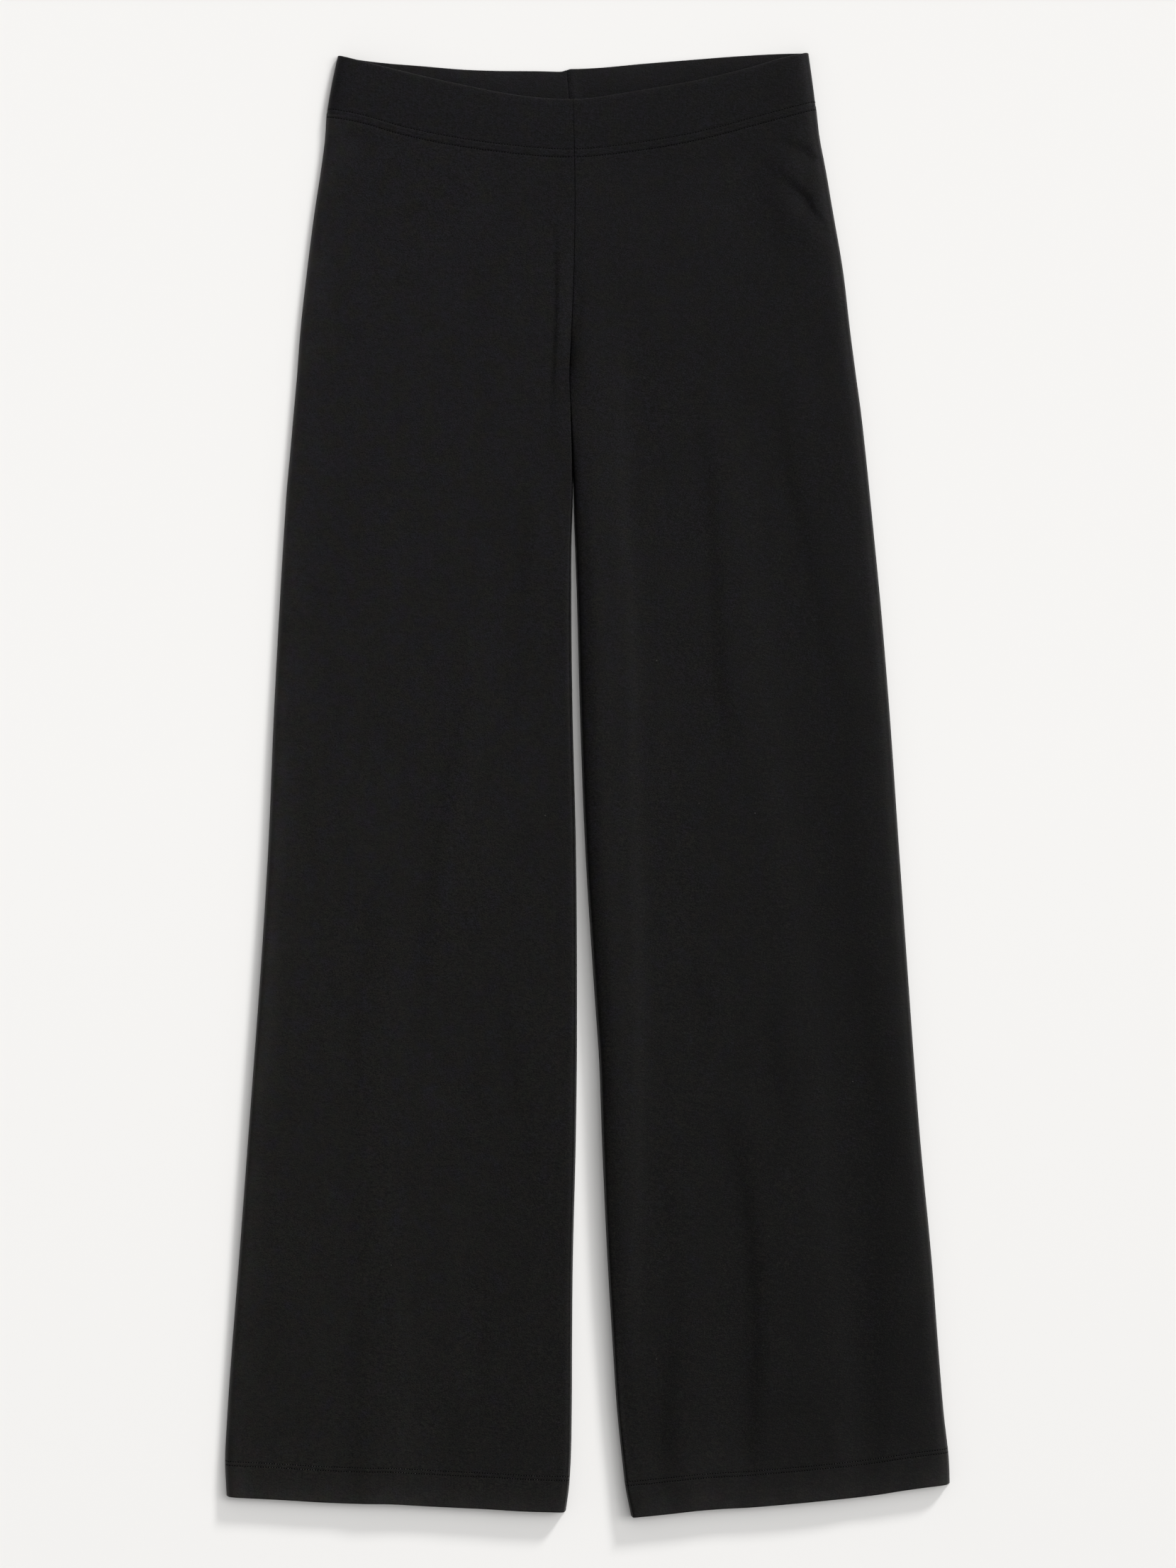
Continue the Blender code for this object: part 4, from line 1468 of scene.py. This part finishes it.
@dataclass
class BandHalf:
    """Half of the waistband, from the centre front round the side fold to the centre back."""
    leg: Leg
    columns: Spacing
    rows: Spacing

    def __post_init__(self) -> None:
        """Reads the half's own corners out of the tables."""
        self.end = 0 if self.leg is Leg.RIGHT else -1
        self.side = edge_rows(self.leg.value + "_side")
        self.inner = edge_rows(self.leg.value + "_inner")
        self.uneven = Undulation(seed=23 if self.leg is Leg.RIGHT else 24, height=0.07, shortest=40, longest=120)

    @property
    def name(self) -> str:
        """The CAD node that the half stands for."""
        return f"waistband_{self.leg.value}"

    def centre(self, ply: Ply) -> tuple:
        """Where the half's centre seam meets the waist seam and the top edge. The back's leans to the right.

        Args:
            ply: Front or back.

        Returns:
            The two places across.
        """
        lean = BACK_LEAN if ply is Ply.BACK else (0.0, 0.0)
        return tuple(float(smooth_line(self.inner, smooth_line(lines[ply], SEAM_MEETS_CENTRE))) - off
                     for lines, off in zip((WAIST_SEAM, TOP_EDGE), lean))

    def corner_lift(self, from_centre: Array) -> Array:
        """How far the back's top edge rises at the centre: slope * exp(-d / reach) + tip * exp(-(d / width)^2)."""
        (slope, reach), (tip, width) = BACK_CORNER[self.leg]
        return slope * np.exp(-from_centre / reach) + tip * bell(from_centre, width)

    def spot(self, ply: Ply, u: Array, v: Array) -> tuple:
        """Places on the half by their shares.

        Args:
            ply: Front or back.
            u: Shares of the way from the side to the middle.
            v: Shares of the way up the piece.

        Returns:
            Across, height, distance in from the side, distance from the centre, and distance above the waist seam.
        """
        u, v = np.broadcast_arrays(np.asarray(u, float), np.asarray(v, float))
        seam, top = WAIST_SEAM[ply], TOP_EDGE[ply]
        centre_seam, centre_top = self.centre(ply)
        seam_y = smooth_line(seam, seam[self.end].across + (centre_seam - seam[self.end].across) * u)
        seam_y = seam_y + CLOTH.joined / 2
        top_y = smooth_line(top, top[self.end].across + (centre_top - top[self.end].across) * u)
        if ply is Ply.BACK:
            top_y = top_y + self.corner_lift(abs(centre_top - top[self.end].across) * (1 - u))
        height = seam_y + (top_y - seam_y) * v
        side_height = seam[self.end].height + (top[self.end].height - seam[self.end].height) * v
        side_x = smooth_line(self.side, side_height)
        centre_x = centre_seam + (centre_top - centre_seam) * v
        width = np.abs(centre_x - side_x)
        return side_x + (centre_x - side_x) * u, height, width * u, width * (1 - u), height - seam_y

    def front(self, u: Array, v: Array) -> Array:
        """Points of the front's outer face: it rises from the side fold and levels off.

        Args:
            u: Shares of the way from the side to the middle.
            v: Shares of the way up the piece.

        Returns:
            The points.
        """
        across, height, from_side, from_centre, above = self.spot(Ply.FRONT, u, v)
        level = smooth_line(level_rows(self.leg), height)
        free = soft_step(above, 0, BAND_SWELL.width)        # of the pull of the waist seam
        level = level + self.uneven.at(across, height) * free
        level = level + BAND_SWELL.rise * bell(above - BAND_SWELL.above, BAND_SWELL.width) * free
        softness = smooth_line(SIDE_SOFTNESS[self.leg], height)
        rise = CLOTH.band_fold + (level - CLOTH.band_fold) * levelling(from_side, softness)
        ditch = BAND_DIP * np.exp(-from_centre / DIP_REACH) * (self.leg is Leg.LEFT)
        stitched = WAIST_STITCH.relief(above) * soft_step(from_side, 0, STITCH_CLEAR)
        return np.stack([across, height, rise - ditch + stitched], axis=-1)

    def back(self, u: Array, v: Array) -> Array:
        """Points of the back's outer face: a quarter round up to the side fold, and flat on the surface.

        Args:
            u: Shares of the way from the side to the middle.
            v: Shares of the way up the piece.

        Returns:
            The points.
        """
        across, height, from_side, _, above = self.spot(Ply.BACK, u, v)
        reach = np.clip(CLOTH.band_fold - from_side, 0, CLOTH.band_fold)
        rise = CLOTH.band_fold - np.sqrt(CLOTH.band_fold ** 2 - reach ** 2)
        stitched = np.maximum(-WAIST_STITCH.relief(above), 0) * soft_step(from_side, 0, STITCH_CLEAR)
        return np.stack([across, height, rise + stitched], axis=-1)

    def wall(self) -> Wall:
        """The closed wall of the half: one strip, from the centre front round to the centre back.

        Returns:
            The wall.
        """
        corner = WAIST_SEAM[Ply.FRONT][self.end]
        front_width = abs(self.centre(Ply.FRONT)[0] - corner.across)
        depth = TOP_EDGE[Ply.FRONT][self.end].height - corner.height
        marks = (0.0, CLOTH.band_fold / 2, CLOTH.band_fold, front_width)
        u = self.columns.places(0.0, front_width, marks) / front_width
        v = self.rows.places(0.0, depth - CLOTH.band_roll, (0.0, WAIST_STITCH.rows[1], depth)) / depth
        u, v = u[None, :], v[:, None]
        front, back = self.front(u, v)[:, ::-1], self.back(u, v)
        _, _, from_side, from_centre, _ = self.spot(Ply.BACK, u, v)
        # painted light: the waistband is painted lighter near its side fold and its top edges, as if lit there
        back_glow = painted_glow(from_side, depth * (1 - v) + BACK_GLOW_START, GLOW_REACH)
        front_glow = painted_glow(self.spot(Ply.FRONT, u, v)[2], depth * (1 - v), TOP_GLOW_REACH)
        front_nx, front_nz = section_normals(front, 1.0)
        back_nx, back_nz = section_normals(back, -1.0)
        front_nx[:, 0], front_nz[:, 0] = 0.0, 1.0
        front_nx[:, -1], front_nz[:, -1] = -self.leg.inwards, 0.0
        back_nx[:, -1], back_nz[:, -1] = 0.0, -1.0
        outer, normal_x, normal_z, glow_share = (
            np.concatenate([of_front, of_back[:, 1:]], axis=1) for of_front, of_back in (
                (front, back), (front_nx, back_nx), (front_nz, back_nz), (front_glow[:, ::-1], back_glow)))
        inner = outer.copy()
        inner[..., 0] -= normal_x * CLOTH.band_wall
        inner[..., 2] -= normal_z * CLOTH.band_wall
        back_inner = inner[:, front.shape[1]:]
        from_centre = from_centre[:, 1:]
        sink = BACK_GROOVE[0] * np.exp(-from_centre / BACK_GROOVE[1])
        if self.leg is Leg.LEFT:
            rise, off, width = BACK_RIDGE
            sink = sink - rise * bell(from_centre - off, width)
        back_inner[..., 0] -= BACK_GAP[0] * np.exp(-from_centre / BACK_GAP[1])
        back_inner[..., 2] -= sink
        return Wall(Surface(outer, glow_share), inner, Edges(0.0, CLOTH.band_roll, BAND_RIM[self.leg], BAND_RIM[Leg.LEFT]))

    def build(self, finish: bpy.types.Material) -> bpy.types.Object:
        """Adds the half to the scene in place of its CAD node.

        Args:
            finish: The cloth's material.

        Returns:
            The half.
        """
        piece = add_wall("cloth_" + self.name, self.wall())
        piece.data.materials.append(finish)
        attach(piece, "root")
        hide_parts(self.name)
        return piece


class StitchRow:
    """Rows of stitches along lines on a surface, all in one mesh.

    Each stitch is a short length of thread that comes out of one needle hole, bows over the cloth and goes into the
    next. Its middle line is z = sink + bow sin(pi t) for t from hole to hole, and it thins towards both ends. At each
    hole a thin six-sided disc of painted shade makes its dark mouth, where the hole lies in shade.
    """
    RINGS = 5
    SIDES = 4
    REACH = 0.52                # share of the pitch that a stitch spans
    RADIUS = 0.2
    THINNEST = 0.55             # share of the radius at a stitch's ends
    BOW = 0.27
    SINK = -0.18
    UNDERSIDE = 0.35            # share of its height that a stitch keeps where the garment lies on it
    TURN, SIZE = 0.045, 0.06    # spread of the stitches' turns, in radians, and of their sizes
    NEAR = 0.4                  # distance over which a row's direction is measured
    # heights of the top and the bottom of each disc of painted shade at a needle hole
    MOUTH_TOP, MOUTH_BOTTOM = 0.07, -0.25

    def __init__(self, seed: int) -> None:
        """Starts an empty collection of stitches.

        Args:
            seed: The start of the random draws.
        """
        self.draw = np.random.default_rng(seed)
        self.threads: list = []
        self.mouths: list = []

    def thread_shape(self, pitch: float) -> Array:
        """The points of one stitch: rings round the middle line, from hole to hole, as (along, aside, up).

        Args:
            pitch: The length from hole to hole.

        Returns:
            The points.
        """
        t = np.linspace(0, 1, self.RINGS)
        bow = np.sin(math.pi * t)
        radius = self.RADIUS * (self.THINNEST + (1 - self.THINNEST) * bow)
        angle = np.arange(self.SIDES) * 2 * math.pi / self.SIDES
        along = np.repeat(((t - 0.5) * pitch * self.REACH)[:, None], self.SIDES, axis=1)
        aside = radius[:, None] * np.cos(angle)[None, :]
        up = (self.SINK + self.BOW * bow)[:, None] + radius[:, None] * np.sin(angle)[None, :]
        return np.stack([along, aside, up], axis=-1).reshape(-1, 3)

    def mouth_shape(self, radius: float) -> Array:
        """The points of one hole's mouth: a six-sided disc of painted shade, its upper ring first.

        Args:
            radius: The disc's radius.

        Returns:
            The points.
        """
        angle = np.arange(6) * math.pi / 3
        ring = np.stack([radius * np.cos(angle), radius * np.sin(angle)], axis=-1)
        return np.concatenate([np.column_stack([ring, np.full(6, z)]) for z in (self.MOUTH_TOP, self.MOUTH_BOTTOM)])

    def follow(self, surface: Shape, u: Array, v: Array, stitch: CoverStitch, up: float) -> None:
        """Adds the stitches of one needle row, and their holes.

        Args:
            surface: A function of u and v that gives points.
            u: Shares along the row, from the side to the garment's middle.
            v: Shares up the piece, matching u.
            stitch: The coverstitch that the row belongs to.
            up: 1 where the outer face looks up, -1 where it lies on the surface below.
        """
        step = np.linalg.norm(np.diff(surface(u, v), axis=0), axis=-1)
        along_row = np.concatenate([[0], np.cumsum(step)])
        back, pitch = along_row[-1] - along_row, stitch.pitch
        count = int(back[0] // pitch)
        lift = 1.0 if up > 0 else self.UNDERSIDE
        centre, along, aside, normal = self._frames(surface, u, v, back, (np.arange(count) + 0.5) * pitch, up)
        turn = self.draw.normal(0, self.TURN, count)[:, None]
        size = self.draw.normal(1, self.SIZE, count)[:, None, None]
        along, aside = along * np.cos(turn) + aside * np.sin(turn), aside * np.cos(turn) - along * np.sin(turn)
        shape = self.thread_shape(pitch)[None] * np.array([1.0, 1.0, lift])
        self.threads.append(centre[:, None] + along[:, None] * shape[..., :1]
                            + (aside[:, None] * shape[..., 1:2] + normal[:, None] * shape[..., 2:]) * size)
        centre, along, aside, normal = self._frames(surface, u, v, back, np.arange(1, count + 1) * pitch, up)
        shape = self.mouth_shape(stitch.mouth)[None] * np.array([1.0, 1.0, lift])
        self.mouths.append(centre[:, None] + along[:, None] * shape[..., :1] + aside[:, None] * shape[..., 1:2]
                           + normal[:, None] * shape[..., 2:])

    def _frames(self, surface: Shape, u: Array, v: Array, back: Array, at: Array, up: float) -> tuple:
        """Places on a row, with the directions along it, aside and out of the cloth there.

        Args:
            surface: A function of u and v that gives points.
            u: Shares along the row.
            v: Shares up the piece, matching u.
            back: Distance of each from the garment's middle.
            at: The distances asked for.
            up: 1 where the outer face looks up, -1 where it looks down.

        Returns:
            Points and three sets of unit vectors.
        """
        here, near = np.interp(at, back[::-1], u[::-1]), self.NEAR / back[0]
        before, after = (surface(here + d, np.interp(here + d, u, v)) for d in (near, -near))
        along = after - before
        along /= np.linalg.norm(along, axis=-1, keepdims=True)
        normal = np.array([0.0, 0.0, up]) - along[:, 2:] * up * along
        normal /= np.linalg.norm(normal, axis=-1, keepdims=True)
        return surface(here, np.interp(here, u, v)), along, np.cross(normal, along), normal

    def _faces(self) -> tuple:
        """Quads of one stitch and of one mouth, all facing outwards.

        Returns:
            Vertex numbers of each, four to a face.
        """
        ring = np.arange(self.RINGS * self.SIDES).reshape(self.RINGS, self.SIDES)
        a, b = ring[:-1], ring[1:]
        sides = np.stack([a, np.roll(a, -1, axis=1), np.roll(b, -1, axis=1), b], axis=-1).reshape(-1, 4)
        thread = np.concatenate([sides, ring[:1, ::-1], ring[-1:]])
        rim = np.array([[i, i + 6, (i + 1) % 6 + 6, (i + 1) % 6] for i in range(6)])
        caps = np.array([[0, 1, 2, 3], [0, 3, 4, 5], [9, 8, 7, 6], [11, 10, 9, 6]])
        return thread, np.concatenate([rim, caps])

    def build(self, name: str, thread: bpy.types.Material, hole: bpy.types.Material, slot: Slot) -> bpy.types.Object:
        """Joins the stitches and the mouths into one piece.

        Args:
            name: The piece's name.
            thread: The threads' material.
            hole: The mouths' material, their painted shade.
            slot: Not used.

        Returns:
            The piece.
        """
        shapes = [np.concatenate(parts) for parts in (self.threads, self.mouths)]
        quads, kinds, used = [], [], 0
        for kind, (shape, faces) in enumerate(zip(shapes, self._faces())):
            count, size = shape.shape[:2]
            quads.append((faces[None] + used + np.arange(count)[:, None, None] * size).reshape(-1, 4))
            kinds.append(np.full(len(quads[-1]), kind, dtype=np.int32))
            used += count * size
        points = np.concatenate([shape.reshape(-1, 3) for shape in shapes])
        mesh = new_mesh(name, points, np.concatenate(quads))
        mesh.polygons.foreach_set("material_index", np.concatenate(kinds))
        t = np.repeat(np.linspace(0, 1, self.RINGS), self.SIDES)
        twist = np.tile(np.stack([t, t + np.tile(np.arange(self.SIDES) / self.SIDES, self.RINGS)], axis=-1),
                        (len(shapes[0]), 1))
        set_uv(mesh, "thread", np.concatenate([twist, np.zeros((len(points) - len(twist), 2))]))
        piece = add_object(name, mesh)
        mesh.materials.append(thread)
        mesh.materials.append(hole)
        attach(piece, "root")
        return piece


# --- The studio ---

def towards(azimuth: float, elevation: float) -> tuple:
    """The direction of a light, from degrees from +Y towards +X and degrees up."""
    a, e = math.radians(azimuth), math.radians(elevation)
    return (math.sin(a) * math.cos(e), math.cos(a) * math.cos(e), math.sin(e))


@dataclass(frozen=True)
class SoftSun:
    """A light from one side, with soft-edged shadows."""
    name: str
    azimuth: float                  # degrees from +Y towards +X
    elevation: float
    strength: float
    spread: float = 9.0
    colour: tuple = (1.0, 0.995, 0.985)

    def shine(self) -> None:
        """Adds the light to the scene."""
        sun = bpy.data.lights.new(self.name, "SUN")
        sun.energy = self.strength
        sun.angle = math.radians(self.spread)
        sun.color = self.colour
        lamp = bpy.data.objects.new(self.name, sun)
        lamp.rotation_euler = Vector(towards(self.azimuth, self.elevation)).to_track_quat("Z", "Y").to_euler()
        bpy.context.scene.collection.objects.link(lamp)


@dataclass(frozen=True)
class Studio:
    """A pale floor, a raking key light from beyond the waist, a softer one from the side, and a surround."""
    key: SoftSun = SoftSun("key", azimuth=32.0, elevation=22.0, strength=2.37)
    side: SoftSun = SoftSun("side", azimuth=75.0, elevation=42.0, strength=0.85, spread=24.0)
    panel_azimuth: float = 60.0     # middle of the broad light panel
    panel_elevation: float = 60.0
    panel_strength: float = 2.24
    panel_focus: float = 8.0        # power of the cosine by which it falls off
    surround: float = 0.319
    camera_distance: float = 4000.0
    frame_height: float = 1183.4
    focus_height: float = 4.0       # height at which the frame's height is measured
    sensor: float = 36.0
    aim: tuple = (0.44, 0.6)
    floor_half: float = 4.0         # half the floor's width, in metres

    def build(self) -> None:
        """Makes the floor, the lights and the camera."""
        self._floor()
        self._lights()
        self._camera()

    def _floor(self) -> None:
        """The floor, a plain sheet far larger than the view."""
        corners = [(x * self.floor_half, y * self.floor_half, 0.0) for x, y in ((-1, -1), (1, -1), (1, 1), (-1, 1))]
        mesh = bpy.data.meshes.new("floor")
        mesh.from_pydata(corners, [], [(0, 1, 2, 3)])
        mesh.materials.append(PaperSurface().make())
        add_object("floor", mesh)

    def _lights(self) -> None:
        """The two suns and the surround."""
        for sun in (self.key, self.side):
            sun.shine()
        world = bpy.data.worlds.new("surround")
        g = Graph(world, "Background")
        look = g.output(g.node("ShaderNodeTexCoord"), "Generated")
        facing = g.node("ShaderNodeVectorMath", {"operation": "DOT_PRODUCT"},
                        {0: look, 1: towards(self.panel_azimuth, self.panel_elevation)})
        panel = g.output(facing, "Value").most(0.0) ** self.panel_focus
        bpy.context.scene.world = g.shade({"Strength": panel * self.panel_strength + self.surround,
                                           "Color": (1.0, 0.998, 0.992, 1.0)})

    def _camera(self) -> None:
        """The camera, straight above the garment."""
        data = bpy.data.cameras.new("camera")
        data.sensor_fit = "AUTO"
        data.sensor_width = self.sensor
        data.lens = self.sensor * (self.camera_distance - self.focus_height) / self.frame_height
        data.clip_start, data.clip_end = 0.1, 50.0
        camera = bpy.data.objects.new("camera", data)
        camera.location = Vector((*self.aim, self.camera_distance)) * METRE
        bpy.context.scene.collection.objects.link(camera)
        bpy.context.scene.camera = camera
        bpy.context.scene.view_settings.view_transform = "Standard"


def report(piece: bpy.types.Object) -> None:
    """Logs a piece's name and size."""
    LOG.info("%s: %d faces", piece.name, len(piece.data.polygons))


def main() -> None:
    """Builds the studio and the garment, and logs the name and number of faces of each of its looks."""
    logging.basicConfig(level=logging.INFO, format="%(name)s: %(message)s")
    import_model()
    leg_cloth = Jersey("leg_jersey").make()
    band_cloth = Jersey("band_jersey", light=(0.0061, 0.0059, 0.0053), lean=1.0).make()
    # the hem thread's painted highlights are paler than the waist thread's
    hem_thread = Thread("hem_thread", colour=(0.0055, 0.0054, 0.0055), pale=(0.09, 0.087, 0.087)).make()
    waist_thread = Thread("waist_thread").make()
    hole = HoleShade().make()
    Studio().build()
    panel_grids = {Ply.FRONT: (Spacing(0.26, 2.5, 5.0), Spacing(0.42, 3.8, 5.0)),
                   Ply.BACK: (Spacing(0.8, 9.0, 10.0), Spacing(0.5, 9.0, 6.0))}
    for leg in Leg:
        hems, waist = StitchRow(seed=5), StitchRow(seed=6)
        for ply in Ply:
            panel = LegPanel(leg, ply, *panel_grids[ply])
            report(panel.build(leg_cloth))
            *hem_lines, waist_line = panel.needle_lines()
            for u, v in hem_lines:
                hems.follow(panel.surface, u, v, HEM_STITCH, ply.up)
            waist.follow(panel.surface, *waist_line, WAIST_STITCH, ply.up)
        band = BandHalf(leg, Spacing(0.35, 2.4, 5.0), Spacing(0.4, 2.0, 4.0))
        report(band.build(band_cloth))
        share = np.linspace(0, 1, ROW_POINTS)
        for face, ply in ((band.front, Ply.FRONT), (band.back, Ply.BACK)):
            *_, top_above = band.spot(ply, share, np.ones_like(share))
            waist.follow(face, share, WAIST_STITCH.rows[1] / top_above, WAIST_STITCH, ply.up)
        report(hems.build("hem_stitching_" + leg.value, hem_thread, hole, Slot.LEG))
        report(waist.build("waist_stitching_" + leg.value, waist_thread, hole, Slot.BAND))


if __name__ == "__main__":
    main()
